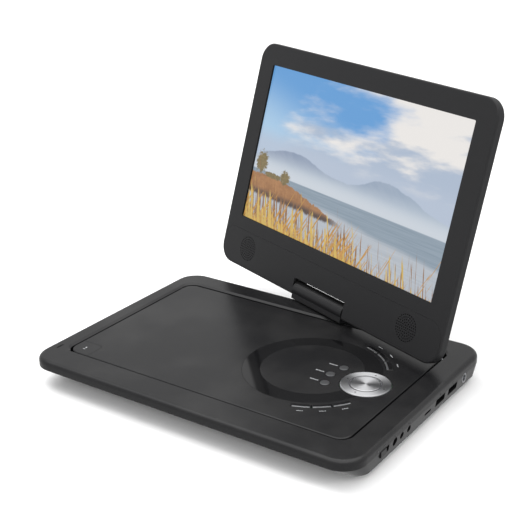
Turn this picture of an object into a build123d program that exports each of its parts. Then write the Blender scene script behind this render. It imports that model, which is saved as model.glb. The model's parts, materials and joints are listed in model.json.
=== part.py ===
from build123d import *
import os
from math import cos, pi, radians, sin

# Portable disc player with a swivelling, tilting screen.
# X runs to the right, Y to the back and Z up; the origin is the centre of the flat
# label panel on the underside. Millimetres throughout.

# ---- base casing -------------------------------------------------------------------
BASE_WIDTH = 260.0
BASE_DEPTH = 186.0
CORNER_R = 17.0
HULL_Z = 3.5  # lower edge of the side walls
WAIST_Z = 12.5  # above this height the walls are upright
RIM_Z = 19.0
EDGE_R = 3.0
WALL = 2.2
LEFT_TUCK = 10.0  # how far each wall leans in below the waist
RIGHT_TUCK = 1.4
FRONT_TUCK = 13.5
BACK_TUCK = 8.0
HULL_CORNER_R = 10.0
FLOOR_WALL = 1.6
CASE_GAP = 0.15
BELLY_MARGINS = (26.0, 35.0, 34.0, 23.0)  # left, front, right, back, from the footprint
BELLY_Z = 0.4
BELLY_R = 10.0
BELLY_EDGE = 1.2
LABEL_WIDTH = 110.0
LABEL_DEPTH = 60.0
LABEL_R = 4.0
FOOT_R = 6.0
FOOT_HEIGHT = 1.9
FOOT_INSET = 11.0
CASE_SCREW_INSET = (10.0, 6.5, 6.0)  # from the opening's sides, front and back

# ---- lid and its opening -----------------------------------------------------------
OPENING_MARGINS = (13.8, 22.0, 17.0, 19.5)  # left, front, right, back
OPENING_R = 9.0
SLOPE_WIDTH = 2.4  # sloping band along the left and back of the opening
LID_DROP = 0.8  # lid surface below the rim
LID_GAP = 0.4
LID_FRONT_GAP = 2.2  # wider finger gap along the front and the right
LID_EDGE = 1.0
LID_BACK_GAP = 0.9
LID_SKIN = 1.4
LID_RIB = 1.5
LINER_T = 0.5
LINER_Z = 14.6
SKIRT = 1.5
DECK_TOP = 13.2
DECK_T = 1.4
WELL_FLOOR = 11.6
DISC_R = 60.0
WELL_GAP = 1.5
LID_PIN_R = 1.0
LID_PIN_LENGTH = 5.8
LID_PIN_INSET = 9.2  # lid pin axis forward of the lid's back edge
LID_PIN_DROP = 1.6  # lid pin axis below the lid surface
LID_BOSS_WIDTH = 3.0
LID_BOSS_HALF = 2.0
RUN_GAP = 0.05  # radial clearance of every pin in its bore
TILE_WIDTH = 18.5  # the release button fills the lid's front left corner
TILE_DEPTH = 17.0
TILE_R = 4.0
TILE_GAP = 0.25
TILE_T = 2.4
TILE_OVERRUN = 12.0  # the tile's outline runs past the lid's corner before it is trimmed
LINER_TILE_GAP = 1.0

# ---- trim ring, pad and keys, placed about the disc's centre -------------------------
DISC_INSET = 68.6  # disc's centre from the right side of the opening
DISC_Y = 0.9
RING_INNER_R = 35.4
RING_OUTER_R = 48.0
RING_T = 0.8
PAD_OFFSET = 41.4
PAD_R = 17.0
PAD_SEAT_GAP = 0.6
PAD_RING_INNER_R = 10.4
PAD_CENTRE_R = 10.0
PAD_PROUD = 0.5
KEY_PROUD = 0.3
KEY_GAP = 0.2
KEY_FOOT_Z = 16.3
ROUND_KEY_R = 3.2
ROUND_KEY_ORBIT = 26.9
ROUND_KEY_STEP = 28.0
ARC_KEY_INNER_R = 50.0
ARC_KEY_OUTER_R = 54.6
ARC_KEY_START = 30.0
ARC_KEY_SPAN = 14.4
ARC_KEY_SPACE = 0.7
KEY_BOARD_T = 0.6
KEY_BOARD_Z = 15.2
KEY_BOARD_R = 4.0
KEY_BOARD_EDGE = 2.0

# ---- disc drive -----------------------------------------------------------------------
MOTOR_R = 11.0
MOTOR_HEIGHT = 5.2
MOTOR_EDGE = 0.8
MOTOR_FLOOR = 1.0
SPINDLE_R = 0.75
TABLE_R = 13.0
TABLE_T = 1.1
TABLE_Z = 12.5  # where the disc rests
HUB_R = 7.3
HUB_HEIGHT = 1.5
HUB_EDGE = 0.9
HUB_BALL_R = 0.9
TABLE_GAP = 2.0
SHAFT_END_GAP = 0.2
TRAY_Z = 3.0
TRAY_T = 1.0
TRAY_R = 4.0
TRAY_MARGIN = 3.0
TRAY_FRONT_MARGIN = 6.0
ROD_R = 1.0
ROD_SPACING = 26.0
ROD_Z = 6.4
ROD_END = 2.5  # rod left over when the sled is fully out
ROD_MOTOR_GAP = 0.4
LUG_T = 1.6
LUG_HALF = 2.2
LUG_RISE = 2.0
SLED_LENGTH = 20.0
SLED_WIDTH = 32.0
SLED_BOTTOM = 5.0
SLED_T = 2.9
SLED_R = 2.0
HEAD_SIZE = 12.0  # optical head standing on the sled
HEAD_RISE = 1.3
HEAD_R = 1.5
WINDOW_WIDTH = 16.0
WINDOW_R = 3.0
WINDOW_END = 1.0
SLED_START = 24.0  # lens distance from the disc's centre at rest
SLED_TRAVEL = 34.0
LENS_R = 2.0
LENS_RISE = 0.8
TOOTH_MODULE = 0.8
FEED_TEETH = 16
PINION_TEETH = 8
GEAR_T = 1.8
GEAR_Z = 5.0
GEAR_FROM_SPINDLE = 39.5
GEAR_POST_R = 1.0
GEAR_POST_RISE = 0.6
RACK_OFFSET = 3.2  # rack pitch line ahead of the sled
RACK_END = 2.5
FEED_MOTOR_R = 6.0
DAMPER_R = 3.0
DAMPER_INSET = 4.0

# ---- boards, battery and sockets on the right wall -----------------------------------
BOARD_T = 1.6
BOARD_Z = 5.2
BOARD_MARGINS = (27.0, 5.4, 25.5)  # front, right, back
BOARD_WIDTH = 46.6
BOARD_R = 2.0
CHIPS = ((10.0, 40.0, 14.0), (14.0, -38.0, 10.0), (18.0, 12.0, 8.0))  # x, y, size
CHIP_T = 1.2
CHIP_R = 0.4
BATTERY_MARGINS = (30.0, 39.0, 31.0)  # left, front, back
BATTERY_GAP = 4.9
BATTERY_T = 6.8
BATTERY_Z = 2.0
BATTERY_R = 3.0
BATTERY_EDGE = 1.0
SOCKET_Z = 10.0
SOCKET_FACE_GAP = 0.6
SOCKET_DECK_GAP = 0.3
SOCKET_R = 0.5
SWITCH_Y = -53.7
SWITCH_SLOT = 11.5
SWITCH_TRAVEL = 4.0
SWITCH_HEIGHT = 4.4
SWITCH_BODY = 13.0
SWITCH_BODY_DEPTH = (3.2, 8.0)
KNOB_ROOT = 3.0
KNOB_PROUD = 1.8
KNOB_R = 0.5
KNOB_EDGE = 0.3
DC_Y = -40.2
DC_R = 2.8
DC_BODY = 9.0
DC_RISE = 0.9
DC_PIN_R = 1.0
DC_BORE = 9.0
AUDIO_Y = (-31.2, -21.7)
AUDIO_R = 1.8
AUDIO_BODY = 6.4
AUDIO_RISE = 1.2
AUDIO_NOSE = 2.0
AUDIO_NOSE_WALL = 0.4
AUDIO_BORE = 12.5
TRIM_SLOT_Y = 5.0
TRIM_SLOT_DROP = 1.0
TRIM_SLOT_LENGTH = 9.0
TRIM_SLOT_WIDTH = 1.8
USB_Y = (22.9, 41.4)
USB_WIDTH = 13.4
USB_HEIGHT = 5.2
USB_R = 0.4
USB_SHELL = 0.4
USB_TONGUE_LIFT = 0.9
USB_TONGUE_T = 1.4
USB_TONGUE_SIDE = 1.1
USB_END = 1.0
ANTENNA_Y = 59.7
ANTENNA_R = 3.4
ANTENNA_BODY = 8.0
ANTENNA_DEPTH = 9.0
ANTENNA_SINK = 0.3
ANTENNA_WALL = 1.0
ANTENNA_PIN_R = 0.5
ANTENNA_BORE = 7.0
LAMP_R = 0.8
LAMP_PROUD = 0.1
LAMP_INSETS = ((10.4, 26.5), (8.8, 22.0))  # from the right and front sides
RIM_SLOT_INSET = (7.4, 24.0)  # from the left and front sides
RIM_SLOT_LENGTH = 6.5
RIM_SLOT_WIDTH = 1.0

# ---- hinge ---------------------------------------------------------------------------
HINGE_INSET = 4.6  # hinge axis ahead of the back wall
FACE_FORWARD = 5.6  # screen face ahead of the tilt axis
CLOSED_GAP = 1.5  # face above the rim when shut
SWIVEL_REST = -20.1  # the screen stands turned and leaned back at rest
LEAN_REST = 15.3
BUSH_R = 3.9
BUSH_FLANGE_R = 4.5
BUSH_FLANGE_T = 0.8
SHAFT_R = 3.0
SHAFT_BORE_R = 1.8
SHAFT_HEAD_R = 4.1
SHAFT_HEAD_T = 1.3
SHAFT_REACH = 2.4  # shaft below the skin of the casing
NOTCH_HALF = 30.0
NOTCH_TOP = 8.8
BARREL_R = 6.3
BARREL_END_GAP = 0.8
BLOCK_FRONT = 7.0
BLOCK_BACK = 6.2
BLOCK_LIFT = 0.4
BLOCK_EDGE = 1.2
BLOCK_SHOULDER = 0.6
TILT_PIN_R = 2.0
TILT_PIN_LENGTH = 16.0
TILT_PIN_IN_BLOCK = 8.0
TILT_PIN_END_GAP = 0.5
CHEEK_LAP = 1.0

# ---- screen, drawn about the tilt axis: u across, v up, w towards the viewer ----------
SCREEN_SIDE_INSET = 0.7  # from the base's sides
SCREEN_TOP_INSET = 0.8  # from the base's front when shut
SCREEN_BELOW = 4.3
SCREEN_R = 14.0
PICTURE_SIDE = 17.95  # from the screen's edges
PICTURE_ABOVE = 16.8
PICTURE_BELOW = 40.6
PICTURE_R = 1.0
BEZEL_DEPTH = 5.8
BEZEL_WALL = 2.0
BEZEL_FACE = 1.6
BEZEL_EDGE = 1.2
BACK_DEPTH = 9.0
BACK_TAPER = 9.0
BACK_WALL = 1.8
STRIP_TOP = 26.0
STRIP_T = 0.8
STRIP_MARGIN = 1.6
PANEL_BORDER = 1.6
PANEL_T = 2.0
PANEL_R = 0.8
BACKLIGHT_T = 2.6
DRIVER_WIDTH = 120.0
DRIVER_LOW = 24.0  # driver board's edges above the picture's lower edge
DRIVER_HIGH = 74.0
DRIVER_T = 1.2
DRIVER_R = 1.0
SPEAKER_INSET = 34.8
SPEAKER_V = 12.6
SPEAKER_R = 11.4
SPEAKER_T = 4.6
SPEAKER_RIM_T = 1.0
SPEAKER_RIM = 1.6
GRILLE_R = 10.4
GRILLE_HOLE_R = 0.55
GRILLE_RINGS = 5
SCREW_HEAD_R = 2.4
SCREW_HEAD_T = 1.0
SCREW_R = 1.1
SCREW_BITE = 3.0
BOSS_WALL = 1.6
POST_WALL = 2.0
SCREEN_SCREW_SIDE = 17.3
SCREEN_SCREW_V = 22.0
SCREEN_SCREW_TOP = 12.0

os.makedirs("parts", exist_ok=True)


def save(build, name):
    """Label one finished piece and write it to its own file."""
    build.part.label = name
    export_step(build.part, f"parts/{name}.step")


def inset(rect, left, front, right, back):
    """A rectangle's left, front, right and back with each side moved inwards."""
    return (rect[0] + left, rect[1] + front, rect[2] - right, rect[3] - back)


def shrunk(rect, amount):
    """A rectangle with every side moved inwards by the same amount."""
    return inset(rect, amount, amount, amount, amount)


def square(x, y, size):
    """The rectangle of a square about its centre."""
    return (x - size / 2, y - size / 2, x + size / 2, y + size / 2)


def rounded(rect, radius):
    """Add a round-cornered rectangle to the sketch being drawn."""
    with Locations(((rect[0] + rect[2]) / 2, (rect[1] + rect[3]) / 2)):
        RectangleRounded(rect[2] - rect[0], rect[3] - rect[1], radius)


def slab(rect, radius, low, high, mode=Mode.ADD):
    """Add a round-cornered plate between two heights to the part being built."""
    with BuildSketch(Plane.XY.offset(low)) as profile:
        rounded(rect, radius)
    extrude(profile.sketch, amount=high - low, mode=mode)


def tube(x, y, radius, low, high, mode=Mode.ADD):
    """Add an upright cylinder between two heights to the part being built."""
    with BuildSketch(Plane.XY.offset(low)) as profile:
        with Locations((x, y)):
            Circle(radius)
    extrude(profile.sketch, amount=high - low, mode=mode)


def polar(radius, angle):
    """A point at this radius and angle about the disc's centre."""
    return (disc_x + radius * cos(radians(angle)), DISC_Y + radius * sin(radians(angle)))


def arc_band(inner, outer, start, end):
    """Add a band between two radii and two angles about the disc's centre."""
    middle = (start + end) / 2
    with BuildLine() as outline:
        Line(polar(inner, start), polar(outer, start))
        ThreePointArc(polar(outer, start), polar(outer, middle), polar(outer, end))
        Line(polar(outer, end), polar(inner, end))
        ThreePointArc(polar(inner, end), polar(inner, middle), polar(inner, start))
    make_face(outline.edges())


# ---- frames and outlines worked out from the sizes -----------------------------------
footprint = (-BASE_WIDTH / 2, -BASE_DEPTH / 2, BASE_WIDTH / 2, BASE_DEPTH / 2)
belly = inset(footprint, *BELLY_MARGINS)
opening = inset(footprint, *OPENING_MARGINS)
label_panel = (-LABEL_WIDTH / 2, -LABEL_DEPTH / 2, LABEL_WIDTH / 2, LABEL_DEPTH / 2)
disc_x = opening[2] - DISC_INSET
hinge_y = BASE_DEPTH / 2 - WALL - HINGE_INSET
tilt_z = RIM_Z + FACE_FORWARD + CLOSED_GAP
lamps = [(footprint[2] - right, footprint[1] + front) for right, front in LAMP_INSETS]
rim_slot = (footprint[0] + RIM_SLOT_INSET[0], footprint[1] + RIM_SLOT_INSET[1])
hull_foot = inset(footprint, LEFT_TUCK, FRONT_TUCK, RIGHT_TUCK, BACK_TUCK)
waist_inside = shrunk(footprint, WALL)
hull_inside = shrunk(hull_foot, WALL)
slope_rect = inset(opening, -SLOPE_WIDTH, 0, 0, -SLOPE_WIDTH)
lid_rect = inset(opening, LID_GAP, LID_FRONT_GAP, LID_FRONT_GAP, LID_BACK_GAP)
deck_rect = shrunk(opening, -SKIRT)
lid_top = RIM_Z - LID_DROP
lid_pin_y = lid_rect[3] - LID_PIN_INSET
lid_pin_z = lid_top - LID_PIN_DROP
pad_x = disc_x + PAD_OFFSET
wall_x = BASE_WIDTH / 2
round_keys = [
    (pad_x + ROUND_KEY_ORBIT * cos(radians(a)), DISC_Y + ROUND_KEY_ORBIT * sin(radians(a)))
    for a in (180 - ROUND_KEY_STEP, 180, 180 + ROUND_KEY_STEP)
]
arc_starts = [ARC_KEY_START + n * ARC_KEY_SPAN for n in range(3)]
arc_spans = [(a, a + ARC_KEY_SPAN) for a in arc_starts]
arc_spans += [(-a - ARC_KEY_SPAN, -a) for a in arc_starts]
foot_spots = [
    (x, y)
    for x in (belly[0] + FOOT_INSET, belly[2] - FOOT_INSET)
    for y in (belly[1] + FOOT_INSET, belly[3] - FOOT_INSET)
]
screw_side, screw_front, screw_back = CASE_SCREW_INSET
case_screw_spots = [
    (x, y)
    for x in (opening[0] + screw_side, opening[2] - screw_side)
    for y in (opening[1] + screw_front, opening[3] - screw_back)
]
side = Plane.YZ.offset(wall_x)

right_dir = (cos(radians(SWIVEL_REST)), sin(radians(SWIVEL_REST)))
lean = radians(LEAN_REST)
screen = Plane(
    origin=(0, hinge_y, tilt_z),
    x_dir=(right_dir[0], right_dir[1], 0),
    z_dir=(right_dir[1] * cos(lean), -right_dir[0] * cos(lean), sin(lean)),
)
barrel = Plane(
    origin=(0, hinge_y, tilt_z),
    x_dir=(-right_dir[1], right_dir[0], 0),
    z_dir=(right_dir[0], right_dir[1], 0),
)
screen_half = BASE_WIDTH / 2 - SCREEN_SIDE_INSET
screen_above = BASE_DEPTH / 2 + hinge_y - SCREEN_TOP_INSET
screen_rect = (-screen_half, -SCREEN_BELOW, screen_half, screen_above)
picture_rect = inset(
    screen_rect, PICTURE_SIDE, PICTURE_BELOW, PICTURE_SIDE, PICTURE_ABOVE
)
bezel_back = FACE_FORWARD - BEZEL_DEPTH
panel_front = FACE_FORWARD - BEZEL_FACE


def screen_slab(rect, radius, low, high, mode=Mode.ADD):
    """Add a plate parallel to the screen between two depths w."""
    with BuildSketch(screen.offset(low)) as profile:
        rounded(rect, radius)
    extrude(profile.sketch, amount=high - low, mode=mode)


def cut_notch():
    """Cut the room for the hinge barrel out of the screen's lower edge."""
    with BuildSketch(screen.offset(-2 * BACK_DEPTH)) as profile:
        with Locations((0, NOTCH_TOP / 2 - SCREEN_BELOW)):
            Rectangle(2 * NOTCH_HALF, NOTCH_TOP + 2 * SCREEN_BELOW)
    extrude(profile.sketch, amount=4 * BACK_DEPTH, mode=Mode.SUBTRACT)


def cut_pin_seats():
    """Cut the seats that hold the tilt pins in the walls beside the notch."""
    for end in (-1, 1):
        with BuildSketch(barrel.offset(end * (NOTCH_HALF - CHEEK_LAP))) as seat:
            Circle(TILT_PIN_R)
        extrude(seat.sketch, amount=end * TILT_PIN_LENGTH, mode=Mode.SUBTRACT)


# ---- base casing ---------------------------------------------------------------------
with BuildPart() as top_case:
    slab(footprint, CORNER_R, WAIST_Z, RIM_Z)
    fillet(top_case.edges().group_by(Axis.Z)[-1], EDGE_R)
    with BuildSketch(Plane.XY.offset(HULL_Z)):
        rounded(hull_foot, HULL_CORNER_R)
    with BuildSketch(Plane.XY.offset(WAIST_Z)):
        rounded(footprint, CORNER_R)
    loft(ruled=True)
    with BuildSketch(Plane.XY.offset(HULL_Z)):
        rounded(hull_inside, HULL_CORNER_R - WALL)
    with BuildSketch(Plane.XY.offset(WAIST_Z)):
        rounded(waist_inside, CORNER_R - WALL)
    loft(ruled=True, mode=Mode.SUBTRACT)
    slab(waist_inside, CORNER_R - WALL, WAIST_Z, RIM_Z - WALL, Mode.SUBTRACT)
    slab(deck_rect, OPENING_R + SKIRT, DECK_TOP, RIM_Z - WALL)
    slab(opening, OPENING_R, DECK_TOP, RIM_Z, Mode.SUBTRACT)
    with BuildSketch(Plane.XY.offset(lid_top)):
        rounded(opening, OPENING_R)
    with BuildSketch(Plane.XY.offset(RIM_Z)):
        rounded(slope_rect, OPENING_R)
    loft(ruled=True, mode=Mode.SUBTRACT)
    # bores for the lid's pins, swivel bush seat, lamp holes and the slot in the rim
    with BuildSketch(Plane.YZ.offset(opening[0] - LID_PIN_LENGTH)):
        with Locations((lid_pin_y, lid_pin_z)):
            Circle(LID_PIN_R + RUN_GAP)
    extrude(amount=opening[2] - opening[0] + 2 * LID_PIN_LENGTH, mode=Mode.SUBTRACT)
    tube(0, hinge_y, BUSH_R, DECK_TOP, RIM_Z, Mode.SUBTRACT)
    for lamp_x, lamp_y in lamps:
        tube(lamp_x, lamp_y, LAMP_R + RUN_GAP, RIM_Z - WALL, RIM_Z, Mode.SUBTRACT)
    with BuildSketch(Plane.XY.offset(RIM_Z - RIM_SLOT_WIDTH)):
        with Locations(rim_slot):
            SlotOverall(RIM_SLOT_LENGTH, RIM_SLOT_WIDTH, rotation=90)
    extrude(amount=RIM_SLOT_WIDTH, mode=Mode.SUBTRACT)
    # sockets and the switch slot through the right wall
    with BuildSketch(side):
        with Locations((SWITCH_Y, SOCKET_Z)):
            RectangleRounded(SWITCH_SLOT, SWITCH_HEIGHT + 2 * KEY_GAP, KNOB_R)
        with Locations((DC_Y, SOCKET_Z)):
            Circle(DC_R)
        with Locations(*[(y, SOCKET_Z) for y in AUDIO_Y]):
            Circle(AUDIO_R + AUDIO_NOSE_WALL + CASE_GAP)
        with Locations((TRIM_SLOT_Y, SOCKET_Z - TRIM_SLOT_DROP)):
            SlotOverall(TRIM_SLOT_LENGTH, TRIM_SLOT_WIDTH)
        with Locations(*[(y, SOCKET_Z) for y in USB_Y]):
            RectangleRounded(USB_WIDTH, USB_HEIGHT, USB_R)
        with Locations((ANTENNA_Y, SOCKET_Z)):
            Circle(ANTENNA_R + CASE_GAP)
    extrude(amount=-2 * WALL, mode=Mode.SUBTRACT)
save(top_case, "top_case")

bottom_rect = shrunk(hull_inside, CASE_GAP)
with BuildPart() as bottom_case:
    slab(bottom_rect, HULL_CORNER_R - WALL - CASE_GAP, HULL_Z, HULL_Z + FLOOR_WALL)
    slab(belly, BELLY_R, BELLY_Z, HULL_Z)
    chamfer(bottom_case.edges().group_by(Axis.Z)[0], BELLY_EDGE)
    slab(label_panel, LABEL_R, 0, BELLY_Z)
    belly_inside = shrunk(belly, FLOOR_WALL)
    slab(
        belly_inside, BELLY_R - FLOOR_WALL, FLOOR_WALL, HULL_Z + FLOOR_WALL, Mode.SUBTRACT
    )
    for x, y in case_screw_spots:
        tube(x, y, SCREW_R + CASE_GAP, HULL_Z, HULL_Z + FLOOR_WALL, Mode.SUBTRACT)
save(bottom_case, "bottom_case")

with BuildPart() as rubber_feet:
    for x, y in foot_spots:
        tube(x, y, FOOT_R, BELLY_Z - FOOT_HEIGHT, BELLY_Z)
    fillet(rubber_feet.edges().group_by(Axis.Z)[0], FOOT_HEIGHT / 3)
save(rubber_feet, "rubber_feet")

with BuildPart() as case_screws:
    for x, y in case_screw_spots:
        tube(x, y, SCREW_HEAD_R, HULL_Z - SCREW_HEAD_T, HULL_Z)
        tube(x, y, SCREW_R, HULL_Z, DECK_TOP - DECK_T)
save(case_screws, "case_screws")

well_r = DISC_R + WELL_GAP
with BuildPart() as disc_deck:
    slab(deck_rect, OPENING_R + SKIRT, DECK_TOP - DECK_T, DECK_TOP)
    tube(disc_x, DISC_Y, well_r + DECK_T, WELL_FLOOR - DECK_T, DECK_TOP)
    tube(disc_x, DISC_Y, well_r, WELL_FLOOR, DECK_TOP, Mode.SUBTRACT)
    tube(
        disc_x, DISC_Y, TABLE_R + TABLE_GAP, WELL_FLOOR - DECK_T, DECK_TOP, Mode.SUBTRACT
    )
    window = (
        disc_x - SLED_START - SLED_TRAVEL - LENS_R - WINDOW_END,
        DISC_Y - WINDOW_WIDTH / 2,
        disc_x,
        DISC_Y + WINDOW_WIDTH / 2,
    )
    slab(window, WINDOW_R, WELL_FLOOR - DECK_T, DECK_TOP, Mode.SUBTRACT)
    for x, y in case_screw_spots:
        tube(x, y, SCREW_R + POST_WALL, HULL_Z + FLOOR_WALL, DECK_TOP - DECK_T)
        tube(x, y, SCREW_R, HULL_Z, DECK_TOP - DECK_T, Mode.SUBTRACT)
save(disc_deck, "disc_deck")

# ---- lid and everything that opens with it --------------------------------------------
tile_rect = (
    lid_rect[0],
    lid_rect[1],
    lid_rect[0] + TILE_WIDTH,
    lid_rect[1] + TILE_DEPTH,
)
tile_room = inset(tile_rect, -TILE_OVERRUN, -TILE_OVERRUN, -TILE_GAP, -TILE_GAP)
inside_lid = shrunk(lid_rect, LID_RIB)
with BuildPart() as lid:
    slab(lid_rect, OPENING_R - LID_GAP, LINER_Z + LINER_T, lid_top)
    fillet(lid.edges().group_by(Axis.Z)[-1], LID_EDGE)
    slab(
        inside_lid,
        OPENING_R - LID_GAP - LID_RIB,
        LINER_Z + LINER_T,
        lid_top - LID_SKIN,
        Mode.SUBTRACT,
    )
    slab(tile_room, TILE_R, LINER_Z + LINER_T, lid_top, Mode.SUBTRACT)
    tube(
        pad_x, DISC_Y, PAD_R + PAD_SEAT_GAP, lid_top - LID_SKIN, lid_top, Mode.SUBTRACT
    )
    with BuildSketch(Plane.XY.offset(lid_top - RING_T)):
        with Locations((disc_x, DISC_Y)):
            Circle(RING_OUTER_R)
            Circle(RING_INNER_R, mode=Mode.SUBTRACT)
    extrude(amount=RING_T, mode=Mode.SUBTRACT)
    for x, y in round_keys:
        tube(x, y, ROUND_KEY_R + KEY_GAP, lid_top - LID_SKIN, lid_top, Mode.SUBTRACT)
    for low_group in (arc_spans[:3], arc_spans[3:]):
        first = min(a for a, _ in low_group)
        last = max(b for _, b in low_group)
        with BuildSketch(Plane.XY.offset(lid_top - LID_SKIN)):
            arc_band(ARC_KEY_INNER_R - KEY_GAP, ARC_KEY_OUTER_R + KEY_GAP, first, last)
        extrude(amount=LID_SKIN, mode=Mode.SUBTRACT)
    # bosses at the back corners hold the lid's pins
    for x in (lid_rect[0] + LID_PIN_LENGTH / 2, lid_rect[2] - LID_PIN_LENGTH / 2):
        with BuildSketch(Plane.XY.offset(LINER_Z + LINER_T)):
            with Locations((x, lid_pin_y)):
                Rectangle(LID_BOSS_WIDTH, 2 * LID_BOSS_HALF)
        extrude(amount=lid_top - LID_SKIN - LINER_Z - LINER_T)
    with BuildSketch(Plane.YZ.offset(lid_rect[0])):
        with Locations((lid_pin_y, lid_pin_z)):
            Circle(LID_PIN_R)
    extrude(amount=LID_PIN_LENGTH, mode=Mode.SUBTRACT)
    with BuildSketch(Plane.YZ.offset(lid_rect[2])):
        with Locations((lid_pin_y, lid_pin_z)):
            Circle(LID_PIN_R)
    extrude(amount=-LID_PIN_LENGTH, mode=Mode.SUBTRACT)
save(lid, "lid")

with BuildPart() as lid_pins:
    with BuildSketch(Plane.YZ.offset(opening[0] - SKIRT)):
        with Locations((lid_pin_y, lid_pin_z)):
            Circle(LID_PIN_R)
    extrude(amount=LID_PIN_LENGTH)
    with BuildSketch(Plane.YZ.offset(opening[2] + SKIRT)):
        with Locations((lid_pin_y, lid_pin_z)):
            Circle(LID_PIN_R)
    extrude(amount=-LID_PIN_LENGTH)
save(lid_pins, "lid_pins")

liner_rect = shrunk(lid_rect, LID_GAP)
liner_room = inset(tile_room, 0, 0, -LINER_TILE_GAP, -LINER_TILE_GAP)
with BuildPart() as lid_liner:
    slab(liner_rect, OPENING_R - 2 * LID_GAP, LINER_Z, LINER_Z + LINER_T)
    slab(liner_room, TILE_R, LINER_Z, LINER_Z + LINER_T, Mode.SUBTRACT)
    for x in (lid_rect[0], lid_rect[2]):
        with BuildSketch(Plane.YZ.offset(x)):
            with Locations((lid_pin_y, lid_pin_z)):
                Circle(LID_PIN_R + CASE_GAP)
        extrude(amount=LID_PIN_LENGTH, both=True, mode=Mode.SUBTRACT)
save(lid_liner, "lid_liner")

with BuildPart() as trim_ring:
    with BuildSketch(Plane.XY.offset(lid_top - RING_T)):
        with Locations((disc_x, DISC_Y)):
            Circle(RING_OUTER_R - CASE_GAP)
            Circle(RING_INNER_R + CASE_GAP, mode=Mode.SUBTRACT)
        with Locations((pad_x, DISC_Y)):
            Circle(PAD_R + PAD_SEAT_GAP, mode=Mode.SUBTRACT)
    extrude(amount=RING_T)
save(trim_ring, "trim_ring")

with BuildPart() as key_board:
    board_span = ARC_KEY_OUTER_R * sin(radians(ARC_KEY_START + 3 * ARC_KEY_SPAN))
    board_rect = (
        round_keys[1][0] - ROUND_KEY_R - KEY_BOARD_EDGE,
        DISC_Y - board_span,
        pad_x + PAD_R,
        DISC_Y + board_span,
    )
    slab(board_rect, KEY_BOARD_R, KEY_BOARD_Z, KEY_BOARD_Z + KEY_BOARD_T)
save(key_board, "key_board")

with BuildPart() as release_button:
    with BuildSketch(Plane.XY.offset(lid_top - TILE_T)):
        rounded(lid_rect, OPENING_R - LID_GAP)
    extrude(amount=TILE_T)
    fillet(release_button.edges().group_by(Axis.Z)[-1], LID_EDGE)
    tile_form = inset(tile_rect, -TILE_OVERRUN, -TILE_OVERRUN, 0, 0)
    slab(tile_form, TILE_R, lid_top - TILE_T, lid_top, Mode.INTERSECT)
save(release_button, "release_button")

with BuildPart() as pad_ring:
    tube(pad_x, DISC_Y, PAD_R, KEY_FOOT_Z, lid_top + PAD_PROUD)
    fillet(pad_ring.edges().group_by(Axis.Z)[-1], PAD_PROUD)
    tube(
        pad_x, DISC_Y, PAD_RING_INNER_R, KEY_FOOT_Z, lid_top + PAD_PROUD, Mode.SUBTRACT
    )
save(pad_ring, "pad_ring")

with BuildPart() as pad_centre:
    tube(pad_x, DISC_Y, PAD_CENTRE_R, KEY_FOOT_Z, lid_top + PAD_PROUD)
    fillet(pad_centre.edges().group_by(Axis.Z)[-1], PAD_PROUD)
save(pad_centre, "pad_centre")

for index, (x, y) in enumerate(round_keys):
    with BuildPart() as round_key:
        tube(x, y, ROUND_KEY_R, KEY_FOOT_Z, lid_top + KEY_PROUD)
        fillet(round_key.edges().group_by(Axis.Z)[-1], KEY_PROUD)
    save(round_key, f"round_key_{index + 1}")

for index, (start, end) in enumerate(arc_spans):
    with BuildPart() as arc_key:
        with BuildSketch(Plane.XY.offset(KEY_FOOT_Z)):
            arc_band(
                ARC_KEY_INNER_R,
                ARC_KEY_OUTER_R,
                start + ARC_KEY_SPACE / 2,
                end - ARC_KEY_SPACE / 2,
            )
        extrude(amount=lid_top + KEY_PROUD - KEY_FOOT_Z)
        chamfer(arc_key.edges().group_by(Axis.Z)[-1], KEY_PROUD)
    save(arc_key, f"arc_key_{index + 1}")

# ---- disc drive ------------------------------------------------------------------------
rest_sled_x = disc_x - SLED_START
rod_low = disc_x - SLED_START - SLED_TRAVEL - SLED_LENGTH / 2 - ROD_END
rod_high = disc_x - MOTOR_R - ROD_MOTOR_GAP
rod_lines = (DISC_Y - ROD_SPACING / 2, DISC_Y + ROD_SPACING / 2)
gear_x = disc_x - GEAR_FROM_SPINDLE
pitch = pi * TOOTH_MODULE
feed_r = FEED_TEETH * TOOTH_MODULE / 2
pinion_r = PINION_TEETH * TOOTH_MODULE / 2
rack_back = DISC_Y - SLED_WIDTH / 2
rack_line = rack_back - RACK_OFFSET
gear_y = rack_line - feed_r
pinion_y = gear_y - feed_r - pinion_r
addendum = 0.7 * TOOTH_MODULE
dedendum = 1.1 * TOOTH_MODULE
half_root = 0.27 * pitch
half_tip = 0.14 * pitch


def gear_profile(x, y, teeth, phase):
    """Add a spur gear's outline with plain slanting teeth to the sketch being drawn."""
    radius = teeth * TOOTH_MODULE / 2
    with Locations((x, y)):
        Circle(radius - dedendum)
        with PolarLocations(0, teeth, start_angle=phase):
            Polygon(
                (radius - 2 * dedendum, -half_root),
                (radius - dedendum, -half_root),
                (radius + addendum, -half_tip),
                (radius + addendum, half_tip),
                (radius - dedendum, half_root),
                (radius - 2 * dedendum, half_root),
                align=None,
            )


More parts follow.
